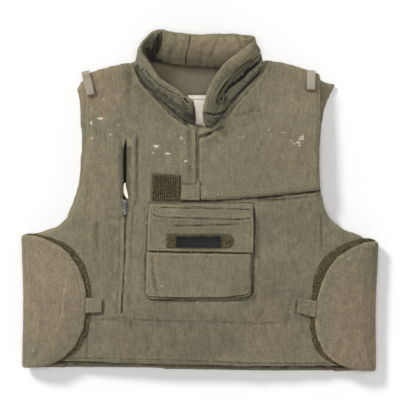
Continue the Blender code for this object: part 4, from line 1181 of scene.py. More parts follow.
class VEST_OT_stage(bpy.types.Operator):
    """Lays the pale floor, sets the soft lights and puts the camera over the vest"""

    bl_idname = "vest.stage"
    bl_label = "Floor, lights and camera"

    def execute(self, context):
        scene = context.scene
        floor = primitive(
            bpy.ops.mesh.primitive_plane_add, "floor", size=FLOOR_SIZE, location=(0.0, 0.0, FLOOR_HEIGHT))
        # Matt painted board: nearly white, with clouds that only just show
        made, tree, shader, place = material("matt_pale_floor", Roughness=0.95)
        clouds = add(tree, "ShaderNodeTexNoise", {"Vector": place, "Scale": 6.0, "Detail": 2.0})
        base = layer(tree, scene.vest_colours.floor, linear("#efedea"), clouds, 0.3, 0.7, 0.06)
        tree.links.new(base, shader.inputs["Base Color"])
        floor.data.materials.append(made)

        world = bpy.data.worlds.new("studio")
        world.use_nodes = True
        background = world.node_tree.nodes["Background"].inputs
        background["Color"].default_value = (1.0, 1.0, 1.0, 1.0)
        background["Strength"].default_value = SKY_LIGHT
        scene.world = world
        for name, place, angle, power in SOFTBOXES:
            light = give(bpy.data.lights.new(name, "SUN"), angle=math.radians(angle), energy=power)
            turn = (-Vector(place)).to_track_quat("-Z", "Y").to_euler()
            give(linked(name, light), location=place, rotation_euler=turn)

        camera = linked("camera", bpy.data.cameras.new("camera"))
        camera.location = (0.0, PHOTO_SHIFT, CAMERA_DISTANCE + CAMERA_LIFT)
        give(
            camera.data, sensor_width=SENSOR, lens=SENSOR * CAMERA_DISTANCE / (2 * PHOTO_MIDDLE * PIXEL),
            clip_end=100.0)
        scene.camera = camera
        scene.view_settings.view_transform = "Standard"
        return {"FINISHED"}


class VEST_OT_back_panel(bpy.types.Operator):
    """Makes the padded back, lined inside, with its bound edges"""

    bl_idname = "vest.back_panel"
    bl_label = "Back panel"

    def execute(self, context):
        sizes = context.scene.vest_sizes
        obj = cloth_copy("back_panel", "cloth", sizes.panel_voxel * 1.08, 8)
        co = points(obj)
        lower_half = co[:, 2] < 0.007
        puff(obj, lower_half | covered(co, "back_panel"), sizes.pressure, sizes.swell * 0.6)
        spread(obj, 0.0014)
        nudge(
            obj, (65, 218.5, 8, 1.2, -0.8), (56, 225, 12, 1.8, -3.4), (62, 221.5, 7, 1.2, -1.4),
            (69, 365, 8, -6.0, -0.6), (332, 368, 8, 6.0, -0.4), (120, 366, 60, 0, -0.5), (280, 369, 80, 0, -0.7))
        sew(obj, "back", 0.0006, 4)
        above_floor(obj)
        weather_and_shade(obj, "back_panel")
        line_with(obj, finishes()["lining"], self.inside)
        finish_piece(obj, "back", "olive_canvas", "back_panel")
        return {"FINISHED"}

    def inside(self, middle, normal):
        """The faces that look up into the vest, under the front or in the neck."""
        neck = (abs(middle[:, 0]) < 0.085) & (middle[:, 1] > 0.08)
        return (normal[:, 2] > 0.3) & (covered(middle, "back_panel", 0.09) | neck)


# How far below the front's surface the pocket zip's slit reaches, in metres
SLIT_DEPTH = 0.0078


def fill_slit(obj):
    """Lifts the floor of the pocket zip's slit to the surface, so that remeshing closes it."""
    co = points(obj)
    close = np.flatnonzero((np.abs(co[:, 0] + 0.1215) < 0.008) & (co[:, 1] > -0.19) & (co[:, 1] < 0.105))
    tree = KDTree(len(close))
    for k in close:
        tree.insert((co[k, 0], co[k, 1], 0.0), int(k))
    tree.balance()
    for k in close:
        for _, other, _ in tree.find_range((co[k, 0], co[k, 1], 0.0), 0.0002):
            # The slit's floor lies 6 to 10 mm under its lips
            if 0.0060 < co[other, 2] - co[k, 2] < 0.0100:
                co[k, 2] = co[other, 2]
    move_points(obj, co)
    edit(obj, (bpy.ops.mesh.remove_doubles, {"threshold": 0.0001}))


def cut_slit(obj, dark):
    """Cuts the zip's open slit into the front, its walls painted near black as shade."""
    cutter = primitive(
        bpy.ops.mesh.primitive_circle_add, "slit_cutter", vertices=2 * len(SLIT), radius=0.01, fill_type="NGON")
    outline = [(x - w, y) for x, y, w in SLIT] + [(x + w, y) for x, y, w in reversed(SLIT)]
    tree = BVHTree.FromObject(obj, bpy.context.evaluated_depsgraph_get())
    for vertex, (x, y) in zip(cutter.data.vertices, outline):
        top, _ = drop(tree, x * MM, y * MM)
        vertex.co = (x * MM, y * MM, top.z - SLIT_DEPTH)
    edit(
        cutter,
        (bpy.ops.mesh.extrude_region_move, {"TRANSFORM_OT_translate": {"value": (0.0, 0.0, 0.03)}}),
        (bpy.ops.mesh.select_all, {"action": "SELECT"}),
        OUTWARDS,
    )
    cutter.data.materials.append(dark)
    modifier(obj, "BOOLEAN", operation="DIFFERENCE", object=cutter, solver="EXACT", material_mode="TRANSFER")
    apply_all(obj)
    bpy.data.objects.remove(cutter)


class VEST_OT_front_panel(bpy.types.Operator):
    """Makes the padded front with its folds and seams, and cuts the pocket zip's slit"""

    bl_idname = "vest.front_panel"
    bl_label = "Front panel"

    def execute(self, context):
        sizes, made = context.scene.vest_sizes, finishes()
        obj = welded_copy("front_panel", "front_panel_cloth")
        fill_slit(obj)
        even(obj, sizes.panel_voxel, 7)
        co = points(obj)
        sides = normals(obj)[:, 2] < 0.4
        held = covered(co, "front_panel") | sides | on_seams(co, "front", sizes.panel_voxel * 0.8)
        puff(obj, held, sizes.pressure, sizes.swell)
        spread(obj, 0.0010)
        nudge(
            obj, (57, 223, 16, 2.2, -2.4), (356, 234, 16, 0.6, 2.2), (201, 127.5, 9, 0, 4.2),
            (191, 125, 7, 0, 2.2))
        sew(obj, "front", 0.0008, 11)
        weather_and_shade(obj, "front_panel")
        line_with(obj, made["lining"], lambda middle, normal: normal[:, 2] < -0.3)
        cut_slit(obj, made["pocket_dark"])
        finish_piece(obj, "front", "olive_canvas", "front_panel")
        return {"FINISHED"}


# The pitch of the loop square's ribs, in metres
RIB_PITCH = 0.0034


class VEST_OT_chest_flap(bpy.types.Operator):
    """Makes the padded chest flap and the sewn tongue and loop square of the front closure"""

    bl_idname = "vest.chest_flap"
    bl_label = "Chest flap and closure"

    def execute(self, context):
        sizes, made = context.scene.vest_sizes, finishes()
        obj = cloth_copy("chest_flap", "cloth", sizes.panel_voxel * 0.72, 5)
        co = points(obj)
        sides = normals(obj)[:, 2] < 0.5
        held = covered(co, "chest_flap") | sides | on_seams(co, "flap", 0.003)
        puff(obj, held, sizes.pressure, sizes.swell * 0.8)
        spread(obj, 0.0008)
        nudge(obj, (204, 128.5, 9, 0, 3.4))
        # The free edge beside the throat reaches further over the tongue
        co = points(obj)
        free, low = spot(209, 184)
        co[:, 0] -= 0.0042 * smoothstep((free - co[:, 0]) / 0.011) * smoothstep((co[:, 1] - low) / 0.004)
        move_points(obj, co)
        sew(obj, "flap", 0.0006, 23)
        weather_and_shade(obj, "chest_flap")
        finish_piece(obj, "flap", "olive_canvas", "chest_flap")

        tongue = cloth_copy("closure_tongue", "cloth", sizes.thin_voxel, 3)
        sew(tongue, "tongue", 0.0002, 5)
        weather_and_shade(tongue, "closure_tongue", 0.0010)
        finish_piece(tongue, "tongue", "olive_canvas", "closure_tongue")

        square = cloth_copy("loop_square", "pile", FINE_VOXEL, 1)
        co, top = points(square), upward(square)
        ribs = np.cos(co[:, 0] * 2.0 * math.pi / RIB_PITCH + 0.8 * value_noise(co[:, :2], (0.004, 0.012), 2))
        fuzz = value_noise(co[:, :2], (0.0014, 0.0016), 7)
        raise_points(square, top * (0.00055 * ribs + 0.0004 * fuzz + 0.0006))
        # Painted shade between the ribs
        set_attribute(square, "dirt", top * (0.38 - 0.6 * ribs), 0.85)
        finish_piece(square, "square", "loop_tape", "loop_square", coat=made["loops"])
        return {"FINISHED"}


# The collar wall's height, how far it stands up before it leans, and the length of one of its rows, in metres
COLLAR_HEIGHT = 0.066
COLLAR_STAND = 0.020
ROW_LENGTH = 0.024
# How far the rim stands out more than remeshing leaves it: row, mm
COLLAR_RIM = (
    (4.5, 0), (6.5, 1.4), (8.0, 4.0), (9.0, 3.8), (12.0, 3.0), (13.2, 5.0), (14.3, 4.6), (15.3, 1.4), (16.5, 0),
)
# The middle of the puckers between the left zip's two seams, and the collar's tip in the throat,
# which is painted dark as shade
PUCKER_BAND = ((140.5, 65), (148, 78), (157, 88.5), (167, 96.5), (179, 102.5))
COLLAR_TIP_SHADE = ((187, 114.5), (192.5, 118.5), (196.5, 112))


def collar_station(co):
    """Where each point of the collar is along its length, in rows, and up its height, 0 to 1."""
    fine, levels = 12, 16
    rows = np.linspace(0, COLLAR_LAST, COLLAR_LAST * fine + 1)
    foot, edge = (
        np.stack([np.interp(rows, range(COLLAR_LAST + 1), line[:, k]) for k in (0, 1)], 1)
        for line in (np.array(table) * MM + (0.0, PHOTO_SHIFT) for table in (COLLAR_FOOT, COLLAR_EDGE)))
    tree = KDTree(len(rows) * (levels + 1))
    for i in range(len(rows)):
        close = np.hypot(co[:, 0] - foot[i, 0], co[:, 1] - foot[i, 1]) < 0.010
        low = float(co[close, 2].min()) if close.any() else float(co[:, 2].min())
        lean = float(np.hypot(*(edge[i] - foot[i])))
        rise = math.sqrt(max(1e-6, COLLAR_HEIGHT**2 - lean**2))
        # Each row is a curve that starts upright at the foot and leans out to the edge
        for j in range(levels + 1):
            s = j / levels
            a, b, c = (1 - s) ** 2, 2 * s * (1 - s), s * s
            xy = foot[i] * (a + b) + edge[i] * c
            tree.insert((xy[0], xy[1], low + b * COLLAR_STAND + c * rise), i * (levels + 1) + j)
    tree.balance()
    found = np.array([tree.find(Vector(p))[1] for p in co])
    return rows[found // (levels + 1)], found % (levels + 1) / levels


def outward_share(obj):
    """How far each point of the collar faces away from the neck, 0 to 1."""
    co, no = points(obj), normals(obj)
    return smoothstep(((co[:, :2] - NECK) * no[:, :2]).sum(1) / 0.02)


class VEST_OT_collar(bpy.types.Operator):
    """Makes the padded standing collar with its gathered seams and the pouch in its open zip"""

    bl_idname = "vest.collar"
    bl_label = "Collar"

    def execute(self, context):
        sizes = context.scene.vest_sizes
        obj = cloth_copy("collar", "cloth", sizes.collar_voxel, 3)
        row, height = collar_station(points(obj))
        zipped = (outward_share(obj) > 0.5) & (height > 0.44) & (height < 0.76) & ((row < 5.5) | (row > 13.0))
        puff(obj, (height < 0.08) | zipped, sizes.pressure, sizes.swell)
        nudge(obj, (208, 122.5, 8, -3.0, 0.5))
        self.gather(obj)
        sew(obj, "collar", 0.0005, 47)
        weather_and_shade(obj, "collar", 0.0035, 0.75)
        # The inner face at the back is painted lighter: painted light on a steep face that the lamps reach less
        x, y, _ = points(obj).T
        painted_light_inner = (1.0 - outward_share(obj)) * smoothstep((y - 0.190) / 0.01) * smoothstep((x + 0.064) / 0.006)
        set_attribute(obj, "worn", np.maximum(get_attribute(obj, "worn"), 0.9 * painted_light_inner))
        finish_piece(obj, "collar", "olive_canvas", "collar")
        return {"FINISHED"}

    def gather(self, obj):
        """Gathers the cloth along the zip, the foot and the upright seams, and opens the zip's pouch."""
        co, no = points(obj), normals(obj)
        row, height = collar_station(co)
        inward = 1.0 - outward_share(obj)
        seen = smoothstep((no[:, 2] + 0.10) / 0.25)
        # The rim stands out further than remeshing leaves it
        away = co[:, :2] - NECK
        away /= np.linalg.norm(away, axis=1)[:, None]
        reach = np.interp(row, *np.array(COLLAR_RIM).T)
        co[:, :2] += away * (MM * reach * smoothstep(height / 0.35))[:, None]
        # Puckers across the left stretch, between the zip's two seams, with painted shade in their hollows
        band, at = along_line(co, PUCKER_BAND)
        slanted = at[:, None] + 0.25 * band[:, None]
        pucker = value_noise(slanted, 0.0052, 3) + 0.5 * value_noise(slanted, 0.0023, 4)
        pucker = pucker * (0.55 + 0.45 * value_noise(co[:, :2], (0.010, 0.010), 15))
        soft = near(band, 0.0046) * seen
        lift = (0.0012 * pucker + 0.0006) * soft
        dirt = 0.42 * np.clip(-pucker - 0.1, 0.0, 1.0) * soft
        # Gathers at the foot, inside and outside, under a band of painted shade that is darkest in their hollows
        run = row[:, None] * ROW_LENGTH
        foot = near(height, 0.12)
        pinch = value_noise(run, 0.0062, 8) + 0.6 * value_noise(run, 0.003, 9)
        lift += 0.0011 * pinch * foot
        dirt = np.maximum(dirt, foot * (0.58 - 0.40 * pinch))
        # The open zip on the right, widest in its middle: its gap and the pouch's crumples are painted dark as
        # shade
        pouch = np.zeros(len(co))
        for wide, rise, dark, grey, line in COLLAR_MOUTH:
            away, at = along_line(co, line)
            share = at / length_of(line)
            sway = 1.0 + 0.25 * value_noise(at[:, None], 0.008, 12) + 0.25 * value_noise(at[:, None], 0.0034, 18)
            half = wide * MM * (0.55 + 0.45 * np.sin(np.pi * share)) * sway
            there = near(away, half) * seen * smoothstep(share / 0.06) * smoothstep((1.0 - share) / 0.06)
            lift += rise * MM * there
            dirt = np.maximum(dirt, dark * there**0.7)
            if grey:
                crumple = value_noise(co[:, :2], (0.0046, 0.0046), 21)
                crumple = crumple + 0.7 * value_noise(co[:, :2], (0.0022, 0.0022), 22)
                lift += 0.0013 * crumple * there
                dirt = np.maximum(dirt, 0.62 * np.clip(-crumple - 0.1, 0.0, 1.0) * there)
                pouch = np.maximum(pouch, grey * np.clip(1.3 * there, 0.0, 1.0))
        # Hollows inside the rings, sunk and painted dark as shade
        for px, py, length, width, across in RINGS.values():
            across = np.array(across) / np.hypot(*across)
            away = co[:, :2] - np.array(spot(px, py))
            side, along = away @ across, away @ np.array((-across[1], across[0]))
            off = (side / (width * 0.00072)) ** 2 + (along / (length * 0.0008)) ** 2
            hole = near(off, 1.0, 3) * seen
            lift -= 0.0020 * hole
            dirt = np.maximum(dirt, hole)
        # Only the cloth at the back of the neck has these creases, with their painted shade
        for wide, deep, dark, line in INNER_CREASES:
            there = near(along_line(co, line)[0], wide * MM) * inward * (co[:, 1] > 0.195)
            lift -= deep * MM * there
            dirt = np.maximum(dirt, dark * there)
        # The turn on the left is painted dark as shade
        for reach, dark, power, line in HOLLOW_SHADE:
            dirt = np.maximum(dirt, dark * near(along_line(co, line)[0], reach, power) * inward)
        # The tip in the throat is painted dark as shade
        dirt = np.maximum(dirt, 0.86 * near(along_line(co, COLLAR_TIP_SHADE)[0], 0.0088) * seen)
        lift += 0.0007 * value_noise(co, (0.014, 0.018, 0.02), 6)
        move_points(obj, co + no * lift[:, None])
        set_attribute(obj, "dirt", dirt)
        set_attribute(obj, "pouch", pouch)


# How far each side flap's edges move, given as nudge takes it
FLAP_MOVES = {
    "left": (
        (24, 238, 26, 0, 2.2), (24, 238, 9, -0.8, 0.8), (66, 364, 6, 2.0, 0), (35, 367, 30, 0, 1.0),
        (65, 218.5, 8, 1.2, -0.8), (56, 225, 11, 1.8, -3.4), (62, 221.5, 7, 1.2, -1.4),
        (63, 356.5, 15, -1.0, 1.9), (52, 361.5, 15, -0.3, 1.2),
    ),
    "right": (
        (374, 244, 9, 0.8, 1.2), (334, 368, 6, -2.0, 0), (360, 369, 30, 0, 1.2), (336, 258, 14, -1.2, 1.2),
        (334, 360, 9, 0.8, 1.2),
    ),
}
HEM_FOLDS = {
    "left": ((43, 364.6), (54, 362.6), (68, 361.8)),
    "right": ((330, 366.8), (344, 367.0), (357, 368.0)),
}
# The part of each side flap that is lower than this, in metres, is the leg that runs out of the back
LEG_HEIGHT = 0.020


class VEST_OT_side_flaps(bpy.types.Operator):
    """Makes the side flaps, the loop fields beyond them and their pull tabs"""

    bl_idname = "vest.side_flaps"
    bl_label = "Side flaps"

    def execute(self, context):
        sizes = context.scene.vest_sizes
        for side, seed in (("left", 31), ("right", 37)):
            node = f"side_flap_{side}"
            obj = cloth_copy(node, "cloth", sizes.collar_voxel * 1.32, 3)
            held = (normals(obj)[:, 2] < 0.5) | (points(obj)[:, 2] < LEG_HEIGHT)
            puff(obj, held, sizes.pressure, sizes.swell * 0.6)
            spread(obj, 0.0016)
            nudge(obj, *FLAP_MOVES[side])
            sew(obj, f"{side}_side", 0.0006, seed)
            # The hem's fold runs on over the leg, painted dark as shade
            co = points(obj)
            fold = near(along_line(co, HEM_FOLDS[side])[0], 0.0030) * (co[:, 2] < LEG_HEIGHT)
            set_attribute(obj, "dirt", np.maximum(get_attribute(obj, "dirt"), 0.95 * fold))
            weather_and_shade(obj, node)
            above_floor(obj)
            finish_piece(obj, f"{side}_side", "olive_canvas", node)

            self.make_field(side, f"loop_field_{side}")

            node = f"pull_tab_{side}"
            tab = cloth_copy(node, "cloth", 0.0011, 2)
            raise_points(tab, 0.0003 * value_noise(points(tab)[:, :2], 0.006, 4) * upward(tab))
            weather_and_shade(tab, node, 0.0010)
            finish_piece(tab, f"{side}_tab", "olive_canvas", node)
        return {"FINISHED"}

    def make_field(self, side, node):
        """A crescent of loop tape that lies on the front and runs under the side flap."""
        field = primitive(
            bpy.ops.mesh.primitive_grid_add, f"{node}_pile", x_subdivisions=190, y_subdivisions=9, size=1.0)
        grid = points(field)
        edges = []
        for line in map(spots, FIELDS[side]):
            run = np.concatenate([[0.0], np.cumsum(np.hypot(*np.diff(line, axis=0).T))])
            at = (grid[:, 0] + 0.5) * run[-1]
            edges.append(np.stack([np.interp(at, run, line[:, k]) for k in (0, 1)], 1))
        across = (grid[:, 1] + 0.5)[:, None]
        ragged = 0.0005 * value_noise(grid[:, :1], 0.008, 11) + 0.0006 * value_noise(grid[:, :1], 0.0075, 12)
        xy = edges[0] + (edges[1] - edges[0]) * across + ragged[:, None] * (1.0 - across)
        tree = surface_of("front")
        z = np.zeros(len(xy))
        for k, (x, y) in enumerate(xy):
            place, _ = from_above(tree, x, y)
            if place is None:
                beside = tree.find_nearest(Vector((x, y, USUAL_HEIGHT)))[0]
                z[k] = beside.z - 0.4 * math.hypot(beside.x - x, beside.y - y)
            else:
                z[k] = place.z
        # The tape is stiffer than the cloth under it, so its heights are evened out
        grid = np.round(grid, 6)
        order = np.lexsort((grid[:, 0], grid[:, 1]))
        rows = z[order].reshape(len(np.unique(grid[:, 1])), -1)
        for _ in range(3):
            wide = np.pad(rows, 1, mode="edge")
            rows = (wide[1:-1, :-2] + wide[1:-1, 2:] + wide[:-2, 1:-1] + wide[2:, 1:-1] + 2 * rows) / 6
        z[order] = rows.ravel()
        move_points(field, np.column_stack([xy, z + 0.0017]))
        edit(field, OUTWARDS)
        if normals(field)[:, 2].mean() < 0.0:
            edit(field, (bpy.ops.mesh.flip_normals, {}))
        modifier(field, "SOLIDIFY", thickness=0.0014, offset=0.0)
        modifier(field, "SUBSURF", levels=1, render_levels=1)
        apply_all(field)
        co = points(field)
        fuzz = value_noise(co[:, :2], 0.0026, 5) + 0.9 * value_noise(co[:, :2], 0.0014, 6)
        raise_points(field, upward(field) * 0.00060 * fuzz)
        rim, inner = (along_line(co, line)[0] for line in FIELDS[side])
        # Painted shade in the pile's hollows and along the flap's edge, lighter along the stitching
        stitched = 0.35 * near(rim - 0.0024, 0.0008)
        shaded = 0.62 * near(inner, 0.0036)
        set_attribute(field, "dirt", 0.10 - 0.42 * fuzz - stitched + shaded, 0.85)
        finish_piece(field, f"{side}_field", "loop_tape", node, coat=finishes()["loops"])


class VEST_OT_pocket(bpy.types.Operator):
    """Makes the chest pocket, its flap, the loop strip and the plain rubber patch"""

    bl_idname = "vest.pocket"
    bl_label = "Chest pocket"

    def execute(self, context):
        sizes = context.scene.vest_sizes
        body = cloth_copy("pocket_body", "cloth", 0.0012, 4)
        sew(body, "pocket", 0.0006, 41)
        weather_and_shade(body, "pocket_body", 0.0020, 0.7)
        finish_piece(body, "pocket", "olive_canvas", "pocket_body")

        flap = cloth_copy("pocket_flap", "cloth", sizes.thin_voxel, 4)
        sew(flap, "pocket_flap", 0.0004, 43)
        weather_and_shade(flap, "pocket_flap", 0.0012)
        finish_piece(flap, "pocket_flap", "olive_canvas", "pocket_flap")

        strip = cloth_copy("flap_loop_strip", "pile", FINE_VOXEL, 1)
        fuzz = value_noise(points(strip)[:, :2], (0.0014, 0.0022), 5)
        raise_points(strip, upward(strip) * (0.0004 * fuzz + 0.0002))
        # Painted shade in the pile's hollows
        set_attribute(strip, "dirt", 0.2 - 0.4 * fuzz, 0.6)
        finish_piece(strip, "strip", "loop_tape", "flap_loop_strip", coat=finishes()["loops"])
        self.make_patch()
        return {"FINISHED"}

    def make_patch(self):
        """A moulded plate with a raised rim and a plain sunk field."""
        low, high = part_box("blank_patch")
        centre, size = (low + high) / 2, high - low
        patch = plate(
            "blank_patch_rubber", centre, (size.x, size.y, size.z * 0.78), corner=0.0030,
            rims=(0.0005, 0.0011, 0.0004), sink=0.0006, edge=0.00035)
        under = heights(surface_of("pocket_flap"), points(patch))
        raise_points(patch, under - np.median(under) + (np.median(under) + 0.0022 - centre.z))
        wear_and_crease_shade(patch, 0.8)
        finish_piece(patch, "patch", "black_rubber", "blank_patch", coat=finishes()["rubber"], angle=35.0)


def tooth_template():
    """One coil tooth: a short rod with a rounded head."""
    tooth = primitive(bpy.ops.mesh.primitive_cylinder_add, "tooth", vertices=8, radius=0.00055, depth=0.0026)
    tooth.rotation_euler = (math.pi / 2, 0.0, 0.0)
    settle(tooth)
    soften(tooth, 0.0002, 40, segments=1)
    return tooth


# The place of the pocket zip's slider and the middle of its pull, in metres
SLIDER = (-0.1207, -0.0034)
PULL_MIDDLE = -0.0152


class VEST_OT_pocket_zip(bpy.types.Operator):
    """Makes the pocket zip: tapes, teeth, slider, pull and the white scrap in its mouth"""

    bl_idname = "vest.pocket_zip"
    bl_label = "Pocket zip"

    def execute(self, context):
        sizes, tree = context.scene.vest_sizes, surface_of("front")
        tooth = tooth_template()
        frames = []
        for side in (-1.0, 1.0):
            edge = [((x + side * (w - 0.5)) * MM, y * MM, 0.0) for x, y, w in SLIT[1:]]
            for place, direction in spaced(edge, sizes.tooth):
                lip, _ = drop(tree, place.x + side * 0.0016, place.y)
                frames.append(frame_at((place.x, place.y, lip.z - 0.0013), direction))
        # Where the zip is closed, its small coil shows as a dark line
        closed = [(*spot(*p), 0.0) for p in CLOSED_ZIP]
        for place, direction in spaced(closed, sizes.tooth * 0.8):
            top, _ = drop(tree, place.x, place.y)
            frames.append(frame_at((place.x, place.y, top.z + 0.0002), direction, scale=0.55))
        teeth = copies("pocket_zip_teeth", tooth, frames)
        finish_piece(teeth, "pocket_teeth", "zip_tape", coat=finishes()["teeth"], angle=50.0)

        for side, sign in (("left", -1.0), ("right", 1.0)):
            self.make_tape(tree, f"zip_tape_{side}", sign)
        self.make_slider(tree)
        self.make_pull(tree)
        self.make_scrap(tree)
        return {"FINISHED"}

    def make_tape(self, tree, node, sign):
        """A tape along one lip of the slit, its inner edge lower than its outer one."""
        low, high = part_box(node)
        tape = primitive(
            bpy.ops.mesh.primitive_grid_add, f"{node}_cloth", x_subdivisions=3, y_subdivisions=48, size=1.0)
        across, up, _ = (points(tape) + 0.5).T
        y = low.y + up * (high.y - low.y)
        rows = np.array(SLIT)[::-1]
        centre, half = (np.interp(y * 1000.0, rows[:, 1], rows[:, k]) * MM for k in (0, 2))
        x = centre + sign * (half - 0.0004 + across * 0.0030)
        lip = heights(tree, np.stack([centre + sign * (half + 0.0016), y], 1))
        z = lip - 0.0008 + 0.0011 * smoothstep(across / 0.5)
        move_points(tape, np.stack([x, y, z], 1))
        thicken(tape, 0.0007)
        finish_piece(tape, node, "zip_tape", node, coat=finishes()["zip_tape"])

    def make_slider(self, tree):
        """A tapered slider body with its bridge."""
        x, y = SLIDER
        top, _ = drop(tree, x + 0.006, y)
        body = block("zip_slider_metal", (x, y, top.z + 0.0004), (0.0082, 0.0120, 0.0034))
        co = points(body)
        co[:, 0] = x + (co[:, 0] - x) * np.where(co[:, 1] < y, 0.72, 1.0)
        move_points(body, co)
        edit(body, (bpy.ops.mesh.bevel, {"offset": 0.0009, "segments": 3, "affect": "EDGES"}))
        bridge = primitive(
            bpy.ops.mesh.primitive_torus_add, "bridge", major_radius=0.0024, minor_radius=0.0007,
            major_segments=20, minor_segments=8, location=(x, y + 0.0005, top.z + 0.0018),
            rotation=(0.0, math.pi / 2, 0.0))
        settle(bridge)
        pick(bridge, body)
        bpy.ops.object.join()
        finish_piece(body, "slider", "grey_metal", "zip_slider", coat=finishes()["metal"], angle=40.0)

    def make_pull(self, tree):
        """The slider's pull, a small plate that lies on the zip."""
        x, _ = SLIDER
        low, _ = drop(tree, x + 0.004, PULL_MIDDLE)
        pull = plate(
            "zip_pull_metal", (x + 0.0003, PULL_MIDDLE, low.z + 0.0012), (0.0056, 0.0126, 0.0013),
            corner=0.0016, rims=(0.0008,), sink=0.0004, edge=0.00025)
        finish_piece(pull, "pull", "grey_metal", "zip_pull", coat=finishes()["metal"], angle=40.0)

    def make_scrap(self, tree):
        """A white cloth end caught in the zip's mouth: a narrow face, the rest folded down inside."""
        scrap = primitive(
            bpy.ops.mesh.primitive_grid_add, "zip_mouth_scrap", x_subdivisions=16, y_subdivisions=26, size=1.0)
        co = points(scrap)
        t, u = co[:, 1] + 0.5, (co[:, 0] + 0.5) * 0.0115
        y = 0.0045 + t * 0.0245
        face = 0.0014 + 0.0046 * np.sin(np.pi * np.clip(0.1 + 0.9 * t, 0.0, 1.0)) ** 0.9
        over, under = np.minimum(u, face), np.maximum(u - face, 0.0)
        x = -0.1146 - 0.0040 * smoothstep(t * 1.1) - over + 0.25 * under
        lip = heights(tree, np.stack([np.full_like(y, -0.1146), y], 1))
        z = lip - 0.0012 + 0.0022 * smoothstep((x + 0.1182) / 0.0022) * (under < 0.0001) - 0.72 * under
        move_points(scrap, np.stack([x, y, z], 1))
        thicken(scrap, 0.0005)
        finish_piece(scrap, "scrap", "white_label", coat=finishes()["label"])


def ribbon(name, path, width_axis, width, thick):
    """A flat tape that starts as one edge and is extruded along its path, then given its thickness."""
    half = Vector(width_axis).normalized() * width / 2
    tape = primitive(bpy.ops.mesh.primitive_plane_add, name, size=0.01)
    first, second = Vector(path[0]), Vector(path[1])
    for vertex, place in zip(tape.data.vertices, (first - half, first + half, second - half, second + half)):
        vertex.co = place
    bpy.ops.object.mode_set(mode="EDIT")
    for a, b in zip(path[1:], path[2:]):
        bpy.ops.mesh.select_all(action="DESELECT")
        bm = bmesh.from_edit_mesh(tape.data)
        for v in bm.verts:
            from_end = v.co - Vector(a)
            if min((from_end - half).length, (from_end + half).length) < 1e-5:
                v.select_set(True)
        bm.select_flush(True)
        bmesh.update_edit_mesh(tape.data)
        bpy.ops.mesh.extrude_region_move(TRANSFORM_OT_translate={"value": tuple(Vector(b) - Vector(a))})
    bpy.ops.object.mode_set(mode="OBJECT")
    edit(tape, OUTWARDS)
    modifier(tape, "SUBSURF", levels=2, render_levels=2)
    modifier(tape, "SOLIDIFY", thickness=thick, offset=0.0, use_even_offset=True)
    soften(tape, thick * 0.3, 50)
    edit(tape, OUTWARDS)
    return tape


# Each shoulder loop's lower and upper end on the vest, and its width, in metres
SHOULDER_LOOPS = {
    "left": ((-0.1744, 0.1682), (-0.1836, 0.2077), 0.0128),
    "right": ((0.1770, 0.1765), (0.1783, 0.2088), 0.0132),
}


class VEST_OT_shoulder_loops(bpy.types.Operator):
    """Makes the pale tape loops over the shoulders"""

    bl_idname = "vest.shoulder_loops"
    bl_label = "Shoulder loops"

    def execute(self, context):
        tree = surface_of("front", "flap")
        for side, (low_end, high_end, width) in SHOULDER_LOOPS.items():
            node = f"shoulder_loop_{side}"
            low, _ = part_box(node)
            start, end = Vector(low_end), Vector(high_end)
            along = (end - start).normalized()
            run = (end - start).length
            # Places along the loop and heights over the cloth: the tape's end lies under the fold at the
            # lower end, turns back on itself there and arches up to its upper seam
            steps = (
                (0.0120, 0.0014), (0.0060, 0.0013), (0.0022, 0.0018), (0.0006, 0.0040), (0.0016, 0.0062),
                (0.0050, 0.0076), (run * 0.35, 0.0086), (run * 0.72, 0.0080), (run - 0.0035, 0.0052),
            )
            path = [(*(start + along * v), drop(tree, *(start + along * v))[0].z + z) for v, z in steps]
            seam = min(path[-1][2] - 0.004, low.z + 0.006)
            path += [(*(start + along * (run - 0.0003)), (path[-1][2] + seam) / 2), (*(start + along * run), seam)]
            tape = ribbon(f"{node}_tape", path, (-along.y, along.x, 0.0), width, 0.0015)
            co = points(tape)
            co += normals(tape) * (0.00012 * value_noise(co, 0.004, 3))[:, None]
            move_points(tape, co)
            off = (co[:, :2] - np.array(low_end)) @ np.array(along)[:2]
            # The tape's turned lower end is painted dark as shade
            set_attribute(tape, "dirt", 0.80 * near(off - 0.0002, 0.0016))
            finish_piece(tape, f"{side}_loop", "pale_tape", node, coat=finishes()["tape"])
        return {"FINISHED"}


# The fold across the neck label
LABEL_FOLD = ((180, 99.6), (220, 99.2))


class VEST_OT_label(bpy.types.Operator):
    """Makes the blank label sewn inside the neck"""

    bl_idname = "vest.label"
    bl_label = "Neck label"

    def execute(self, context):
        label = cloth_copy("neck_label", "cloth", FINE_VOXEL, 1)
        low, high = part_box("neck_label")
        co = points(label)
        under = heights(surface_of("back"), co)
        wave = 0.0005 * value_noise(co[:, :2], (0.012, 0.016), 3)
        # A fold runs across the label, the cloth above it lies a little higher, and the fold is painted as shade
        fold = along_line(co, LABEL_FOLD)[0]
        step = 0.0006 * smoothstep((co[:, 1] - spot(0, 99.4)[1]) / 0.0006)
        raise_points(label, under - low.z + 0.0004 + wave + step - 0.0005 * near(fold, 0.0009))
        set_attribute(label, "dirt", 0.45 * near(fold, 0.0010))
        finish_piece(label, "label", "white_label", "neck_label", coat=finishes()["label"])
        return {"FINISHED"}


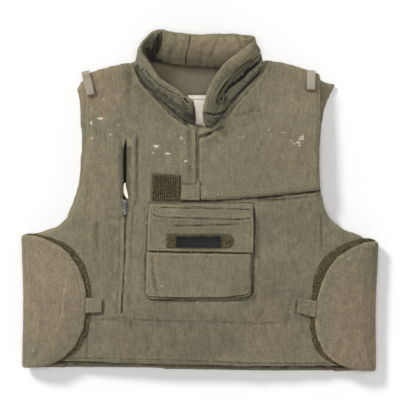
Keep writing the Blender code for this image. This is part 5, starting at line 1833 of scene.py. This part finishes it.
class VEST_OT_stitching(bpy.types.Operator):
    """Sews the visible seams with single stitches that lie on their cloth"""

    bl_idname = "vest.stitching"
    bl_label = "Stitching"

    def execute(self, context):
        sizes = context.scene.vest_sizes
        stitch = primitive(bpy.ops.mesh.primitive_uv_sphere_add, "stitch", segments=6, ring_count=4, radius=1.0)
        stitch.scale = (sizes.stitch * 0.36, sizes.thread * 0.62, sizes.thread * 0.5)
        settle(stitch)
        frames = []
        for piece, lines in STITCHES.items():
            tree = surface_of(piece)
            for line in lines:
                for place, direction in spaced([(*spot(*p), 0.0) for p in line], sizes.stitch):
                    top, normal = from_above(tree, place.x, place.y)
                    if top is not None:
                        along = direction - normal * direction.dot(normal)
                        frames.append(frame_at(top + normal * sizes.thread * 0.12, along, normal))
        sewn = copies("seam_stitches", stitch, frames)
        finish_piece(sewn, "stitches", "pale_tape", coat=finishes()["thread"], angle=80.0)
        return {"FINISHED"}


class VEST_OT_collar_zip(bpy.types.Operator):
    """Makes the collar's zip tapes and the two rings at its ends"""

    bl_idname = "vest.collar_zip"
    bl_label = "Collar zip"

    def execute(self, context):
        for side in ("left", "right"):
            node = f"collar_zip_{side}"
            tape = welded_copy(node, f"{node}_cloth")
            modifier(tape, "SUBSURF", levels=2, render_levels=2)
            apply_all(tape)
            finish_piece(tape, node, "zip_tape", node, coat=finishes()["zip_tape"])
            self.make_ring(side, f"collar_slider_{side}")
        return {"FINISHED"}

    def make_ring(self, side, node):
        """A long wire ring that lies on the collar where its zip ends."""
        px, py, length, width, across = RINGS[side]
        ring = primitive(
            bpy.ops.mesh.primitive_torus_add, f"{node}_metal", major_radius=width * MM - 0.0006,
            minor_radius=0.00085, major_segments=28, minor_segments=8)
        co = points(ring)
        co[:, 1] += np.sign(co[:, 1]) * (length - width) * MM
        frame = frame_at((*spot(px, py), 0.0), (*across, 0.0))
        co = co @ frame[:3, :3].T + frame[:3, 3]
        under = heights(surface_of("collar"), co)
        co[:, 2] += 0.3 * np.median(under) + 0.7 * under + 0.0012
        move_points(ring, co)
        finish_piece(ring, f"ring_{side}", "grey_metal", node, coat=finishes()["ring"])


OPERATORS = (
    VEST_OT_stage, VEST_OT_back_panel, VEST_OT_front_panel, VEST_OT_chest_flap, VEST_OT_collar,
    VEST_OT_collar_zip, VEST_OT_side_flaps, VEST_OT_pocket, VEST_OT_pocket_zip, VEST_OT_shoulder_loops,
    VEST_OT_label, VEST_OT_stitching,
)


class VEST_PT_panel(bpy.types.Panel):
    """Lists the vest's pieces in the sidebar"""

    bl_label = "Flak Vest"
    bl_idname = "VEST_PT_panel"
    bl_space_type = "VIEW_3D"
    bl_region_type = "UI"
    bl_category = "Vest"

    def draw(self, context):
        layout = self.layout
        for group in (context.scene.vest_sizes, context.scene.vest_colours):
            for key in group.__annotations__:
                layout.prop(group, key)
        for operator in OPERATORS:
            layout.operator(operator.bl_idname)


CLASSES = (VestSizes, VestColours, *OPERATORS, VEST_PT_panel)


def register():
    for cls in CLASSES:
        bpy.utils.register_class(cls)
    bpy.types.Scene.vest_sizes = bpy.props.PointerProperty(type=VestSizes)
    bpy.types.Scene.vest_colours = bpy.props.PointerProperty(type=VestColours)


def unregister():
    del bpy.types.Scene.vest_colours
    del bpy.types.Scene.vest_sizes
    for cls in reversed(CLASSES):
        bpy.utils.unregister_class(cls)


def main():
    register()
    for operator in OPERATORS:
        group, name = operator.bl_idname.split(".")
        getattr(getattr(bpy.ops, group), name)()


if __name__ == "__main__":
    main()
